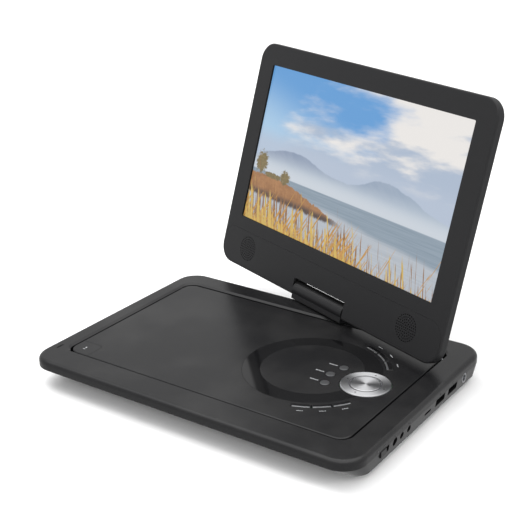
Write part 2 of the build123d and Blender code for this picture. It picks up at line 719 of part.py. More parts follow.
with BuildPart() as traverse_tray:
    tray_rect = (
        rod_low - TRAY_MARGIN,
        pinion_y - TRAY_FRONT_MARGIN,
        disc_x + MOTOR_R + TRAY_MARGIN,
        DISC_Y + SLED_WIDTH / 2 + TRAY_MARGIN,
    )
    slab(tray_rect, TRAY_R, TRAY_Z, TRAY_Z + TRAY_T)
    for lug_x in (rod_low, rod_high - LUG_T):
        for rod_y in rod_lines:
            lug = (lug_x, rod_y - LUG_HALF, lug_x + LUG_T, rod_y + LUG_HALF)
            slab(lug, SOCKET_R, TRAY_Z, ROD_Z + LUG_RISE)
    for rod_y in rod_lines:
        with BuildSketch(Plane.YZ.offset(rod_low)):
            with Locations((rod_y, ROD_Z)):
                Circle(ROD_R)
        extrude(amount=rod_high - rod_low, mode=Mode.SUBTRACT)
    for post_x, post_y in ((gear_x, gear_y), (gear_x, pinion_y)):
        tube(post_x, post_y, GEAR_POST_R, TRAY_Z, GEAR_Z + GEAR_T + GEAR_POST_RISE)
save(traverse_tray, "traverse_tray")

with BuildPart() as guide_rods:
    for rod_y in rod_lines:
        with BuildSketch(Plane.YZ.offset(rod_low)):
            with Locations((rod_y, ROD_Z)):
                Circle(ROD_R)
        extrude(amount=rod_high - rod_low)
save(guide_rods, "guide_rods")

with BuildPart() as traverse_dampers:
    for x in (tray_rect[0] + DAMPER_INSET, tray_rect[2] - DAMPER_INSET):
        for y in (tray_rect[1] + DAMPER_INSET, tray_rect[3] - DAMPER_INSET):
            tube(x, y, DAMPER_R, FLOOR_WALL, TRAY_Z)
save(traverse_dampers, "traverse_dampers")

with BuildPart() as spindle_motor:
    tube(disc_x, DISC_Y, MOTOR_R, TRAY_Z + TRAY_T, TRAY_Z + TRAY_T + MOTOR_HEIGHT)
    fillet(spindle_motor.edges().group_by(Axis.Z)[-1], MOTOR_EDGE)
    tube(
        disc_x,
        DISC_Y,
        SPINDLE_R + RUN_GAP,
        TRAY_Z + TRAY_T + MOTOR_FLOOR,
        TRAY_Z + TRAY_T + MOTOR_HEIGHT,
        Mode.SUBTRACT,
    )
save(spindle_motor, "spindle_motor")

with BuildPart() as turntable:
    tube(disc_x, DISC_Y, TABLE_R, TABLE_Z - TABLE_T, TABLE_Z)
    tube(disc_x, DISC_Y, HUB_R, TABLE_Z, TABLE_Z + HUB_HEIGHT)
    fillet(turntable.edges().group_by(Axis.Z)[-1], HUB_EDGE)
    with BuildSketch(Plane.XY.offset(TABLE_Z + HUB_HEIGHT / 3)):
        with Locations((disc_x, DISC_Y)):
            with PolarLocations(HUB_R, 3):
                Circle(HUB_BALL_R)
    extrude(amount=HUB_HEIGHT, mode=Mode.SUBTRACT)
save(turntable, "turntable")

with BuildPart() as spindle_shaft:
    shaft_foot = TRAY_Z + TRAY_T + MOTOR_FLOOR + SHAFT_END_GAP
    tube(disc_x, DISC_Y, SPINDLE_R, shaft_foot, TABLE_Z - TABLE_T)
save(spindle_shaft, "spindle_shaft")

head_top = SLED_BOTTOM + SLED_T + HEAD_RISE
with BuildPart() as laser_sled:
    sled_rect = (
        rest_sled_x - SLED_LENGTH / 2,
        DISC_Y - SLED_WIDTH / 2,
        rest_sled_x + SLED_LENGTH / 2,
        DISC_Y + SLED_WIDTH / 2,
    )
    slab(sled_rect, SLED_R, SLED_BOTTOM, SLED_BOTTOM + SLED_T)
    slab(square(rest_sled_x, DISC_Y, HEAD_SIZE), HEAD_R, SLED_BOTTOM, head_top)
    for rod_y in rod_lines:
        with BuildSketch(Plane.YZ.offset(sled_rect[0])):
            with Locations((rod_y, ROD_Z)):
                Circle(ROD_R + RUN_GAP)
        extrude(amount=SLED_LENGTH, mode=Mode.SUBTRACT)
save(laser_sled, "laser_sled")

with BuildPart() as laser_lens:
    tube(rest_sled_x, DISC_Y, LENS_R, head_top, head_top + LENS_RISE)
    fillet(laser_lens.edges().group_by(Axis.Z)[-1], LENS_RISE / 2)
save(laser_lens, "laser_lens")

with BuildPart() as sled_rack:
    rack_low = gear_x - RACK_END
    rack_high = gear_x + SLED_TRAVEL + RACK_END
    rack_base = rack_line + dedendum
    with BuildSketch(Plane.XY.offset(GEAR_Z)):
        with Locations(((rack_low + rack_high) / 2, (rack_base + rack_back) / 2)):
            Rectangle(rack_high - rack_low, rack_back - rack_base)
    extrude(amount=GEAR_T)
    teeth_across = int((rack_high - rack_low) / pitch) - 1
    with BuildSketch(Plane.XY.offset(GEAR_Z)):
        for n in range(teeth_across):
            with Locations((gear_x + (n - 0.5) * pitch, rack_line)):
                Polygon(
                    (-half_root, 2 * dedendum),
                    (-half_root, dedendum),
                    (-half_tip, -addendum),
                    (half_tip, -addendum),
                    (half_root, dedendum),
                    (half_root, 2 * dedendum),
                    align=None,
                )
    extrude(amount=GEAR_T)
save(sled_rack, "sled_rack")

gears = (
    ("feed_gear", gear_y, FEED_TEETH, 90.0),
    ("motor_pinion", pinion_y, PINION_TEETH, 90.0 + 180.0 / PINION_TEETH),
)
for gear_name, y, teeth, phase in gears:
    with BuildPart() as gear:
        with BuildSketch(Plane.XY.offset(GEAR_Z)):
            gear_profile(gear_x, y, teeth, phase)
            with Locations((gear_x, y)):
                Circle(GEAR_POST_R + RUN_GAP, mode=Mode.SUBTRACT)
        extrude(amount=GEAR_T)
    save(gear, gear_name)

with BuildPart() as feed_motor:
    motor_foot = GEAR_Z + GEAR_T + GEAR_POST_RISE
    tube(gear_x, pinion_y, FEED_MOTOR_R, motor_foot, WELL_FLOOR - DECK_T)
save(feed_motor, "feed_motor")

# ---- boards, battery and sockets --------------------------------------------------------
board_top = BOARD_Z + BOARD_T
board_front, board_right, board_back = BOARD_MARGINS
board = (
    wall_x - board_right - BOARD_WIDTH,
    footprint[1] + board_front,
    wall_x - board_right,
    footprint[3] - board_back,
)
with BuildPart() as main_board:
    slab(board, BOARD_R, BOARD_Z, board_top)
    for x, y in case_screw_spots:
        tube(x, y, SCREW_R + POST_WALL + CASE_GAP, BOARD_Z, board_top, Mode.SUBTRACT)
save(main_board, "main_board")

with BuildPart() as board_chips:
    for x, y, size in CHIPS:
        slab(square(board[0] + x, y, size), CHIP_R, board_top, board_top + CHIP_T)
save(board_chips, "board_chips")

battery_left, battery_front, battery_back = BATTERY_MARGINS
battery = (
    footprint[0] + battery_left,
    footprint[1] + battery_front,
    tray_rect[0] - BATTERY_GAP,
    footprint[3] - battery_back,
)
with BuildPart() as battery_pack:
    slab(battery, BATTERY_R, BATTERY_Z, BATTERY_Z + BATTERY_T)
    fillet(battery_pack.edges().group_by(Axis.Z)[-1], BATTERY_EDGE)
save(battery_pack, "battery_pack")

socket_x = wall_x - RIGHT_TUCK - WALL - SOCKET_FACE_GAP
socket_depth = socket_x - deck_rect[2] - SOCKET_DECK_GAP


def socket_body(y, width, high, depth):
    """Add a socket's block on the main board, its face towards the right wall."""
    outline = (socket_x - depth, y - width / 2, socket_x, y + width / 2)
    slab(outline, SOCKET_R, board_top, high)


with BuildPart() as dc_jack:
    socket_body(DC_Y, DC_BODY, SOCKET_Z + DC_R + DC_RISE, socket_depth)
    with BuildSketch(Plane.YZ.offset(socket_x)):
        with Locations((DC_Y, SOCKET_Z)):
            Circle(DC_R)
            Circle(DC_PIN_R, mode=Mode.SUBTRACT)
    extrude(amount=-DC_BORE, mode=Mode.SUBTRACT)
save(dc_jack, "dc_jack")

for name, y in zip(("headphone_jack", "av_jack"), AUDIO_Y):
    with BuildPart() as audio_jack:
        socket_body(y, AUDIO_BODY, SOCKET_Z + AUDIO_R + AUDIO_RISE, socket_depth)
        with BuildSketch(Plane.YZ.offset(socket_x)):
            with Locations((y, SOCKET_Z)):
                Circle(AUDIO_R + AUDIO_NOSE_WALL)
        extrude(amount=AUDIO_NOSE)
        with BuildSketch(Plane.YZ.offset(socket_x + AUDIO_NOSE)):
            with Locations((y, SOCKET_Z)):
                Circle(AUDIO_R)
        extrude(amount=-AUDIO_BORE, mode=Mode.SUBTRACT)
    save(audio_jack, name)

for name, y in zip(("usb_port_front", "usb_port_rear"), USB_Y):
    with BuildPart() as usb_port:
        usb_top = SOCKET_Z + USB_HEIGHT / 2 + USB_SHELL
        socket_body(y, USB_WIDTH + 2 * USB_SHELL, usb_top, socket_depth)
        with BuildSketch(Plane.YZ.offset(socket_x)):
            with Locations((y, SOCKET_Z)):
                Rectangle(USB_WIDTH - USB_SHELL, USB_HEIGHT - USB_SHELL)
                with Locations((0, USB_TONGUE_LIFT)):
                    Rectangle(
                        USB_WIDTH - 2 * USB_TONGUE_SIDE, USB_TONGUE_T, mode=Mode.SUBTRACT
                    )
        extrude(amount=USB_END - socket_depth, mode=Mode.SUBTRACT)
    save(usb_port, name)

with BuildPart() as antenna_jack:
    socket_body(ANTENNA_Y, ANTENNA_BODY, SOCKET_Z + ANTENNA_R, ANTENNA_DEPTH)
    with BuildSketch(Plane.YZ.offset(socket_x)):
        with Locations((ANTENNA_Y, SOCKET_Z)):
            Circle(ANTENNA_R)
    extrude(amount=wall_x - socket_x - ANTENNA_SINK)
    with BuildSketch(Plane.YZ.offset(wall_x)):
        with Locations((ANTENNA_Y, SOCKET_Z)):
            Circle(ANTENNA_R - ANTENNA_WALL)
            Circle(ANTENNA_PIN_R, mode=Mode.SUBTRACT)
    extrude(amount=-ANTENNA_BORE, mode=Mode.SUBTRACT)
save(antenna_jack, "antenna_jack")

switch_low = SWITCH_Y - SWITCH_SLOT / 2 + KEY_GAP
knob_length = SWITCH_SLOT - SWITCH_TRAVEL - 2 * KEY_GAP
switch_near, switch_far = SWITCH_BODY_DEPTH
with BuildPart() as power_switch:
    switch_rect = (
        socket_x - switch_far,
        SWITCH_Y - SWITCH_BODY / 2,
        socket_x - switch_near,
        SWITCH_Y + SWITCH_BODY / 2,
    )
    slab(switch_rect, SOCKET_R, board_top, SOCKET_Z + SWITCH_HEIGHT / 2)
save(power_switch, "power_switch")

with BuildPart() as switch_knob:
    with BuildSketch(Plane.YZ.offset(socket_x - KNOB_ROOT)):
        with Locations((switch_low + knob_length / 2, SOCKET_Z)):
            RectangleRounded(knob_length, SWITCH_HEIGHT, KNOB_R)
    extrude(amount=KNOB_ROOT + SOCKET_FACE_GAP + WALL + KNOB_PROUD)
    outer = switch_knob.faces().sort_by(Axis.X)[-1]
    fillet(outer.edges(), KNOB_EDGE)
save(switch_knob, "switch_knob")

with BuildPart() as status_lamps:
    for lamp_x, lamp_y in lamps:
        tube(lamp_x, lamp_y, LAMP_R, RIM_Z - WALL, RIM_Z + LAMP_PROUD)
save(status_lamps, "status_lamps")

# ---- swivel and tilt hinge --------------------------------------------------------------
with BuildPart() as swivel_bush:
    tube(0, hinge_y, BUSH_R, RIM_Z - WALL, RIM_Z)
    tube(0, hinge_y, BUSH_FLANGE_R, RIM_Z - WALL - BUSH_FLANGE_T, RIM_Z - WALL)
    tube(0, hinge_y, SHAFT_R + RUN_GAP, RIM_Z - 2 * WALL, RIM_Z, Mode.SUBTRACT)
save(swivel_bush, "swivel_bush")

block_z = RIM_Z + BLOCK_LIFT
swivel_foot = RIM_Z - WALL - SHAFT_REACH
with BuildPart() as swivel_shaft:
    tube(0, hinge_y, SHAFT_R, swivel_foot, block_z)
    tube(0, hinge_y, SHAFT_HEAD_R, swivel_foot, swivel_foot + SHAFT_HEAD_T)
    tube(0, hinge_y, SHAFT_BORE_R, swivel_foot, block_z, Mode.SUBTRACT)
save(swivel_shaft, "swivel_shaft")

barrel_half = NOTCH_HALF - BARREL_END_GAP
with BuildPart() as hinge_block:
    with BuildSketch(barrel.offset(-barrel_half)):
        Circle(BARREL_R)
        with BuildLine():
            Polyline(
                (-BLOCK_FRONT, block_z - tilt_z + BLOCK_EDGE),
                (-BLOCK_FRONT + BLOCK_EDGE, block_z - tilt_z),
                (BLOCK_BACK - BLOCK_EDGE, block_z - tilt_z),
                (BLOCK_BACK, block_z - tilt_z + BLOCK_EDGE),
                (BARREL_R - BLOCK_SHOULDER, 0),
                (-BARREL_R + BLOCK_SHOULDER, 0),
                close=True,
            )
        make_face()
    extrude(amount=2 * barrel_half)
    tube(0, hinge_y, SHAFT_BORE_R, block_z, tilt_z, Mode.SUBTRACT)
    for end in (-1, 1):
        with BuildSketch(barrel.offset(end * barrel_half)):
            Circle(TILT_PIN_R + RUN_GAP)
        extrude(amount=-end * (TILT_PIN_IN_BLOCK + TILT_PIN_END_GAP), mode=Mode.SUBTRACT)
save(hinge_block, "hinge_block")

with BuildPart() as tilt_pins:
    for end in (-1, 1):
        with BuildSketch(barrel.offset(end * (barrel_half - TILT_PIN_IN_BLOCK))):
            Circle(TILT_PIN_R)
        extrude(amount=end * TILT_PIN_LENGTH)
save(tilt_pins, "tilt_pins")

# ---- screen -----------------------------------------------------------------------------
speaker_u = screen_half - SPEAKER_INSET
speaker_spots = [(-speaker_u, SPEAKER_V), (speaker_u, SPEAKER_V)]
strip_rect = (
    STRIP_MARGIN - screen_half,
    STRIP_MARGIN - SCREEN_BELOW,
    screen_half - STRIP_MARGIN,
    STRIP_TOP,
)
screw_u = screen_half - SCREEN_SCREW_SIDE
screw_spots = [
    (u, v)
    for u in (-screw_u, 0.0, screw_u)
    for v in (SCREEN_SCREW_V, screen_above - SCREEN_SCREW_TOP)
]
strip_back = FACE_FORWARD - STRIP_T


def add_cheeks(foot, height):
    """Add the solid walls beside the notch that hold the tilt pins."""
    with BuildSketch(screen.offset(foot)) as profile:
        with Locations((0, (NOTCH_TOP + BEZEL_WALL) / 2 - SCREEN_BELOW)):
            Rectangle(2 * (NOTCH_HALF + BEZEL_WALL), NOTCH_TOP + BEZEL_WALL)
    extrude(profile.sketch, amount=height)


bezel_inside = shrunk(screen_rect, BEZEL_WALL)
with BuildPart() as front_bezel:
    screen_slab(screen_rect, SCREEN_R, bezel_back, FACE_FORWARD)
    face_edges = front_bezel.faces().sort_by(Axis(screen.origin, screen.z_dir))[-1].edges()
    fillet(face_edges, BEZEL_EDGE)
    screen_slab(
        bezel_inside, SCREEN_R - BEZEL_WALL, bezel_back, panel_front, Mode.SUBTRACT
    )
    screen_slab(picture_rect, PICTURE_R, bezel_back, FACE_FORWARD, Mode.SUBTRACT)
    screen_slab(strip_rect, SCREEN_R - STRIP_MARGIN, strip_back, FACE_FORWARD, Mode.SUBTRACT)
    with BuildSketch(screen.offset(panel_front)):
        with Locations(*speaker_spots):
            Circle(GRILLE_R)
    extrude(amount=BEZEL_FACE, mode=Mode.SUBTRACT)
    with BuildSketch(screen.offset(bezel_back)):
        with Locations(*screw_spots):
            Circle(SCREW_R + BOSS_WALL)
    extrude(amount=BEZEL_DEPTH - BEZEL_FACE)
    with BuildSketch(screen.offset(bezel_back)):
        with Locations(*screw_spots):
            Circle(SCREW_R)
    extrude(amount=SCREW_BITE, mode=Mode.SUBTRACT)
    add_cheeks(bezel_back, BEZEL_DEPTH - BEZEL_FACE)
    cut_notch()
    cut_pin_seats()
save(front_bezel, "front_bezel")

grille_step = GRILLE_R / (GRILLE_RINGS + 0.5)
with BuildPart() as speaker_strip:
    screen_slab(
        shrunk(strip_rect, CASE_GAP),
        SCREEN_R - STRIP_MARGIN - CASE_GAP,
        strip_back,
        FACE_FORWARD,
    )
    with BuildSketch(screen.offset(strip_back)):
        for u, v in speaker_spots:
            with Locations((u, v)):
                Circle(GRILLE_HOLE_R)
                for ring in range(1, GRILLE_RINGS + 1):
                    with PolarLocations(ring * grille_step, 6 * ring):
                        Circle(GRILLE_HOLE_R)
    extrude(amount=STRIP_T, mode=Mode.SUBTRACT)
    cut_notch()
save(speaker_strip, "speaker_strip")

flat_rect = shrunk(screen_rect, BACK_TAPER)
back_w = bezel_back - BACK_DEPTH
with BuildPart() as cover_form:
    with BuildSketch(screen.offset(back_w)):
        rounded(flat_rect, SCREEN_R)
    with BuildSketch(screen.offset(bezel_back)):
        rounded(screen_rect, SCREEN_R)
    loft(ruled=True)
    flat_back = cover_form.faces().sort_by(Axis(screen.origin, screen.z_dir))[0]
    fillet(flat_back.edges(), BACK_WALL)

with BuildPart() as back_cover:
    add(cover_form.part)
    with BuildSketch(screen.offset(back_w + BACK_WALL)):
        rounded(shrunk(flat_rect, BACK_WALL), SCREEN_R - BACK_WALL)
    with BuildSketch(screen.offset(bezel_back)):
        rounded(bezel_inside, SCREEN_R - BEZEL_WALL)
    loft(ruled=True, mode=Mode.SUBTRACT)
    add_cheeks(back_w, BACK_DEPTH)
    with BuildSketch(screen.offset(bezel_back)):
        with Locations(*screw_spots):
            Circle(SCREW_R + BOSS_WALL)
    extrude(amount=BACK_WALL - BACK_DEPTH)
    add(cover_form.part, mode=Mode.INTERSECT)
    cut_notch()
    with BuildSketch(screen.offset(back_w)):
        with Locations(*screw_spots):
            Circle(SCREW_HEAD_R + CASE_GAP)
    extrude(amount=SCREW_HEAD_T, mode=Mode.SUBTRACT)
    with BuildSketch(screen.offset(back_w)):
        with Locations(*screw_spots):
            Circle(SCREW_R)
    extrude(amount=BACK_DEPTH, mode=Mode.SUBTRACT)
    cut_pin_seats()
save(back_cover, "back_cover")

with BuildPart() as screen_screws:
    with BuildSketch(screen.offset(back_w)):
        with Locations(*screw_spots):
            Circle(SCREW_HEAD_R)
    extrude(amount=SCREW_HEAD_T)
    with BuildSketch(screen.offset(back_w)):
        with Locations(*screw_spots):
            Circle(SCREW_R)
    extrude(amount=BACK_DEPTH + SCREW_BITE)
save(screen_screws, "screen_screws")

panel_rect = shrunk(picture_rect, -PANEL_BORDER)
with BuildPart() as lcd_panel:
    screen_slab(panel_rect, PANEL_R, panel_front - PANEL_T, panel_front)
save(lcd_panel, "lcd_panel")

light_front = panel_front - PANEL_T
with BuildPart() as backlight:
    screen_slab(panel_rect, PANEL_R, light_front - BACKLIGHT_T, light_front)
save(backlight, "backlight")

driver_front = light_front - BACKLIGHT_T
with BuildPart() as driver_board:
    driver_rect = (
        -DRIVER_WIDTH / 2,
        picture_rect[1] + DRIVER_LOW,
        DRIVER_WIDTH / 2,
        picture_rect[1] + DRIVER_HIGH,
    )
    screen_slab(driver_rect, DRIVER_R, driver_front - DRIVER_T, driver_front)
save(driver_board, "driver_board")

for name, spot in zip(("speaker_left", "speaker_right"), speaker_spots):
    with BuildPart() as speaker:
        with BuildSketch(screen.offset(panel_front - SPEAKER_T)):
            with Locations(spot):
                Circle(SPEAKER_R)
        extrude(amount=SPEAKER_T - SPEAKER_RIM_T)
        with BuildSketch(screen.offset(panel_front - SPEAKER_RIM_T)):
            with Locations(spot):
                Circle(SPEAKER_R)
                Circle(SPEAKER_R - SPEAKER_RIM, mode=Mode.SUBTRACT)
        extrude(amount=SPEAKER_RIM_T)
    save(speaker, name)
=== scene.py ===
"""Materials, fine detail, light and camera for the portable disc player."""

import json
import logging
import math
from dataclasses import dataclass, field
from enum import Enum
from typing import Sequence

import bpy
from mathutils import Matrix, Vector


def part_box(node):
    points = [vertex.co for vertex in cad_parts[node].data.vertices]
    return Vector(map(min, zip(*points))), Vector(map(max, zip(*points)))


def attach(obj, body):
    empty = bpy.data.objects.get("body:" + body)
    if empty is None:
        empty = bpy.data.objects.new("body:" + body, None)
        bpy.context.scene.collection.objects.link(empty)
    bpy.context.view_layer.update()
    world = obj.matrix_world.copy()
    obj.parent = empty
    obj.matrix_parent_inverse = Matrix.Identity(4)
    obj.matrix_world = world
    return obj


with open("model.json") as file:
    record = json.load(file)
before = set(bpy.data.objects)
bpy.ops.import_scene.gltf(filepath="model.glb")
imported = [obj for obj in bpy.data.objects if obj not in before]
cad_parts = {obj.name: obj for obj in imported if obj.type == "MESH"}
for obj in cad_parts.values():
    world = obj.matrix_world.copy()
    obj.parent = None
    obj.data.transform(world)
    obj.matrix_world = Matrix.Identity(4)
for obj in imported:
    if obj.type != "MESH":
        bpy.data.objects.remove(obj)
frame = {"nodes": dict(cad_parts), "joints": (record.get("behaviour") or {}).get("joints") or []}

logging.basicConfig(level=logging.INFO, format="%(message)s")
log = logging.getLogger("player")

MM = 0.001
Point = tuple[float, float]
Colour = tuple[float, float, float]
Socket = bpy.types.NodeSocket


# ---- node graphs ---------------------------------------------------------------------


class Wire:
    """A value in a node graph that arithmetic can be done on."""

    def __init__(self, graph: "Graph", socket: Socket) -> None:
        """Hold a socket and the graph it belongs to.

        Args:
            graph: The graph being drawn.
            socket: The output socket that carries the value.
        """
        self.graph = graph
        self.socket = socket

    def __add__(self, other: "Wire | float") -> "Wire":
        """Return the sum.

        Args:
            other: What is added: a wire or a number.

        Returns:
            The sum.
        """
        return self.graph.math("ADD", self, other)

    def __sub__(self, other: "Wire | float") -> "Wire":
        """Return the difference.

        Args:
            other: What is taken away: a wire or a number.

        Returns:
            The difference.
        """
        return self.graph.math("SUBTRACT", self, other)

    def __rsub__(self, other: float) -> "Wire":
        """Return a number less this value.

        Args:
            other: The number.

        Returns:
            The difference.
        """
        return self.graph.math("SUBTRACT", other, self)

    def __mul__(self, other: "Wire | float") -> "Wire":
        """Return the product.

        Args:
            other: What it is multiplied by: a wire or a number.

        Returns:
            The product.
        """
        return self.graph.math("MULTIPLY", self, other)

    def __truediv__(self, other: "Wire | float") -> "Wire":
        """Return the quotient.

        Args:
            other: What it is divided by: a wire or a number.

        Returns:
            The quotient.
        """
        return self.graph.math("DIVIDE", self, other)

    __radd__ = __add__
    __rmul__ = __mul__


class Graph:
    """A node tree with short methods for the nodes this scene needs."""

    def __init__(self, tree: bpy.types.NodeTree) -> None:
        """Wrap a node tree.

        Args:
            tree: The tree that new nodes are added to.
        """
        self.tree = tree

    def node(self, kind: str, **settings: object) -> bpy.types.Node:
        """Add a node.

        Args:
            kind: The node's type name.
            **settings: Properties to set on it.

        Returns:
            The new node.
        """
        made = self.tree.nodes.new(kind)
        for key, value in settings.items():
            setattr(made, key, value)
        return made

    def plug(self, target: Socket, value: object) -> None:
        """Link or set one input.

        Args:
            target: The input socket.
            value: A wire, a socket, a number or a tuple.
        """
        if isinstance(value, Wire):
            self.tree.links.new(target, value.socket)
        elif isinstance(value, bpy.types.NodeSocket):
            self.tree.links.new(target, value)
        else:
            target.default_value = value

    def math(self, operation: str, *values: "Wire | float", clamp: bool = False) -> Wire:
        """Add one arithmetic node.

        Args:
            operation: The node's operation name.
            *values: Its inputs in order.
            clamp: Whether the result is kept from 0 to 1.

        Returns:
            The result.
        """
        made = self.node("ShaderNodeMath", operation=operation, use_clamp=clamp)
        for target, value in zip(made.inputs, values):
            self.plug(target, value)
        return Wire(self, made.outputs[0])

    def vector(self, operation: str, *values: object, out: int = 0) -> Wire:
        """Add one vector arithmetic node.

        Args:
            operation: The node's operation name.
            *values: Its inputs in order.
            out: 0 for the vector result and 1 for the number.

        Returns:
            The result.
        """
        made = self.node("ShaderNodeVectorMath", operation=operation)
        for target, value in zip(made.inputs, values):
            self.plug(target, value)
        return Wire(self, made.outputs[out])

    def place(self) -> Wire:
        """Return a point's own position in the piece, in metres."""
        return Wire(self, self.node("ShaderNodeTexCoord").outputs["Object"])

    def generated(self) -> Wire:
        """Add the direction that a world shader is asked about.

        Returns:
            The direction.
        """
        return Wire(self, self.node("ShaderNodeTexCoord").outputs["Generated"])

    def curve(self, value: Wire, points: Sequence[Point]) -> Wire:
        """Follow a curve through points.

        Args:
            value: Where the curve is read, from 0 to 1.
            points: Its points in order.

        Returns:
            The curve's height.
        """
        made = self.node("ShaderNodeFloatCurve")
        line = made.mapping.curves[0]
        for n, (x, y) in enumerate(points):
            if n < 2:
                line.points[n].location = (x, y)
            else:
                line.points.new(x, y)
        made.mapping.update()
        self.plug(made.inputs["Value"], value)
        return Wire(self, made.outputs[0])

    def split(self, value: Wire) -> tuple[Wire, Wire, Wire]:
        """Return a vector's three numbers.

        Args:
            value: The vector.

        Returns:
            X, Y and Z.
        """
        made = self.node("ShaderNodeSeparateXYZ")
        self.plug(made.inputs[0], value)
        return tuple(Wire(self, socket) for socket in made.outputs)

    def join(self, x: object, y: object, z: object = 0.0) -> Wire:
        """Return a vector made of three numbers.

        Args:
            x: The first number.
            y: The second number.
            z: The third number.

        Returns:
            The vector.
        """
        made = self.node("ShaderNodeCombineXYZ")
        for target, value in zip(made.inputs, (x, y, z)):
            self.plug(target, value)
        return Wire(self, made.outputs[0])

    def noise(self, at: Wire, scale: object, detail: float = 3.0, rough: object = 0.5) -> Wire:
        """Add a noise texture.

        Args:
            at: Where it is read.
            scale: Its scale.
            detail: How many octaves it has.
            rough: How strong the fine octaves are.

        Returns:
            A value near 0.5.
        """
        made = self.node("ShaderNodeTexNoise")
        self.plug(made.inputs["Vector"], at)
        self.plug(made.inputs["Scale"], scale)
        self.plug(made.inputs["Detail"], detail)
        self.plug(made.inputs["Roughness"], rough)
        return Wire(self, made.outputs[0])

    def step(self, value: Wire, low: object, high: object) -> Wire:
        """Return a smooth step.

        Args:
            value: What is compared.
            low: Where the result leaves 0.
            high: Where the result reaches 1.

        Returns:
            A value from 0 to 1.
        """
        made = self.node("ShaderNodeMapRange", interpolation_type="SMOOTHSTEP")
        self.plug(made.inputs["Value"], value)
        self.plug(made.inputs["From Min"], low)
        self.plug(made.inputs["From Max"], high)
        return Wire(self, made.outputs[0])

    def mix(self, share: object, first: object, second: object) -> Wire:
        """Mix two colours.

        Args:
            share: How much of the second shows.
            first: The first colour.
            second: The second colour.

        Returns:
            The mixed colour.
        """
        made = self.node("ShaderNodeMix", data_type="RGBA")
        self.plug(made.inputs["Factor"], share)
        for key, value in (("A", first), ("B", second)):
            target = [s for s in made.inputs if s.name == key and s.type == "RGBA"][0]
            self.plug(target, rgba(value) if isinstance(value, tuple) else value)
        return Wire(self, [s for s in made.outputs if s.type == "RGBA"][0])

    def bump(self, height: Wire, strength: object, reach: object, normal: object = None) -> Wire:
        """Turn a height into a normal.

        Args:
            height: The height, from 0 to 1.
            strength: How much of it shows.
            reach: The height in metres that 1 stands for.
            normal: The normal it starts from, if not the surface's own.

        Returns:
            The normal.
        """
        made = self.node("ShaderNodeBump")
        self.plug(made.inputs["Height"], height)
        self.plug(made.inputs["Strength"], strength)
        self.plug(made.inputs["Distance"], reach)
        if normal is not None:
            self.plug(made.inputs["Normal"], normal)
        return Wire(self, made.outputs[0])


def rgba(colour: Sequence[float]) -> tuple[float, ...]:
    """Return a colour with full opacity.

    Args:
        colour: Red, green and blue.

    Returns:
        Four numbers.
    """
    return (*colour[:3], 1.0)


class Effect:
    """A node group that several finishes share.

    Args:
        name: The group's name.
        inputs: The type and first value of each input, by name.
        outputs: The type of each output, by name.
    """

    name: str = "effect"
    inputs: dict[str, tuple[str, object]] = {}
    outputs: dict[str, str] = {}

    def tree(self) -> bpy.types.NodeTree:
        """Return the group's tree, building it once.

        Returns:
            The node group.
        """
        found = bpy.data.node_groups.get(self.name)
        if found:
            return found
        tree = bpy.data.node_groups.new(self.name, "ShaderNodeTree")
        for key, (kind, start) in self.inputs.items():
            made = tree.interface.new_socket(key, in_out="INPUT", socket_type=kind)
            if start is not None:
                made.default_value = start
        for key, kind in self.outputs.items():
            tree.interface.new_socket(key, in_out="OUTPUT", socket_type=kind)
        graph = Graph(tree)
        source = graph.node("NodeGroupInput")
        target = graph.node("NodeGroupOutput")
        results = self.draw(graph, {s.name: Wire(graph, s) for s in source.outputs if s.name})
        for key, value in results.items():
            graph.plug(target.inputs[key], value)
        return tree

    def draw(self, graph: Graph, given: dict[str, Wire]) -> dict[str, Wire]:
        """Draw the group's nodes.

        Args:
            graph: The group's graph.
            given: Its inputs by name.

        Returns:
            Its outputs by name.
        """
        raise NotImplementedError

    def use(self, graph: Graph, **values: object) -> dict[str, Wire]:
        """Add the group to a material.

        Args:
            graph: The material's graph.
            **values: Inputs by name, with underscores for spaces.

        Returns:
            Its outputs by name.
        """
        made = graph.node("ShaderNodeGroup", node_tree=self.tree())
        for key, value in values.items():
            graph.plug(made.inputs[key.replace("_", " ")], value)
        return {s.name: Wire(graph, s) for s in made.outputs}


VALUE = "NodeSocketFloat"
NORMAL = "NodeSocketVector"


class Grain(Effect):
    """Moulded or polished surface grain with softened edges."""

    name = "surface_grain"
    inputs = {"Scale": (VALUE, 2200.0), "Strength": (VALUE, 0.1), "Edge": (VALUE, 0.0002)}
    outputs = {"Normal": NORMAL, "Mottle": VALUE}

    def draw(self, graph: Graph, given: dict[str, Wire]) -> dict[str, Wire]:
        """Draw the grain.

        Args:
            graph: The group's graph.
            given: Scale, Strength and Edge.

        Returns:
            Normal, and Mottle for small changes of tone.
        """
        at = graph.place()
        fine = graph.noise(at, given["Scale"], 2.0)
        soft = graph.node("ShaderNodeBevel", samples=4)
        graph.plug(soft.inputs["Radius"], given["Edge"])
        normal = graph.bump(fine, given["Strength"], 0.0001, soft.outputs[0])
        return {"Normal": normal, "Mottle": graph.noise(at, 60.0, 4.0)}


class EdgeWear(Effect):
    """Where outer edges have been rubbed."""

    name = "edge_wear"
    inputs = {"Width": (VALUE, 0.0004), "Amount": (VALUE, 0.5)}
    outputs = {"Mask": VALUE}

    def draw(self, graph: Graph, given: dict[str, Wire]) -> dict[str, Wire]:
        """Draw the wear.

        Args:
            graph: The group's graph.
            given: Width and Amount.

        Returns:
            Mask, from 0 to 1.
        """
        soft = graph.node("ShaderNodeBevel", samples=4)
        graph.plug(soft.inputs["Radius"], given["Width"])
        true = graph.node("ShaderNodeNewGeometry").outputs["Normal"]
        turn = graph.vector("DOT_PRODUCT", soft.outputs[0], true, out=1)
        broken = graph.step(graph.noise(graph.place(), 420.0, 4.0), 0.35, 0.65)
        mask = graph.step(1.0 - turn, 0.02, 0.3) * broken * given["Amount"]
        return {"Mask": mask}


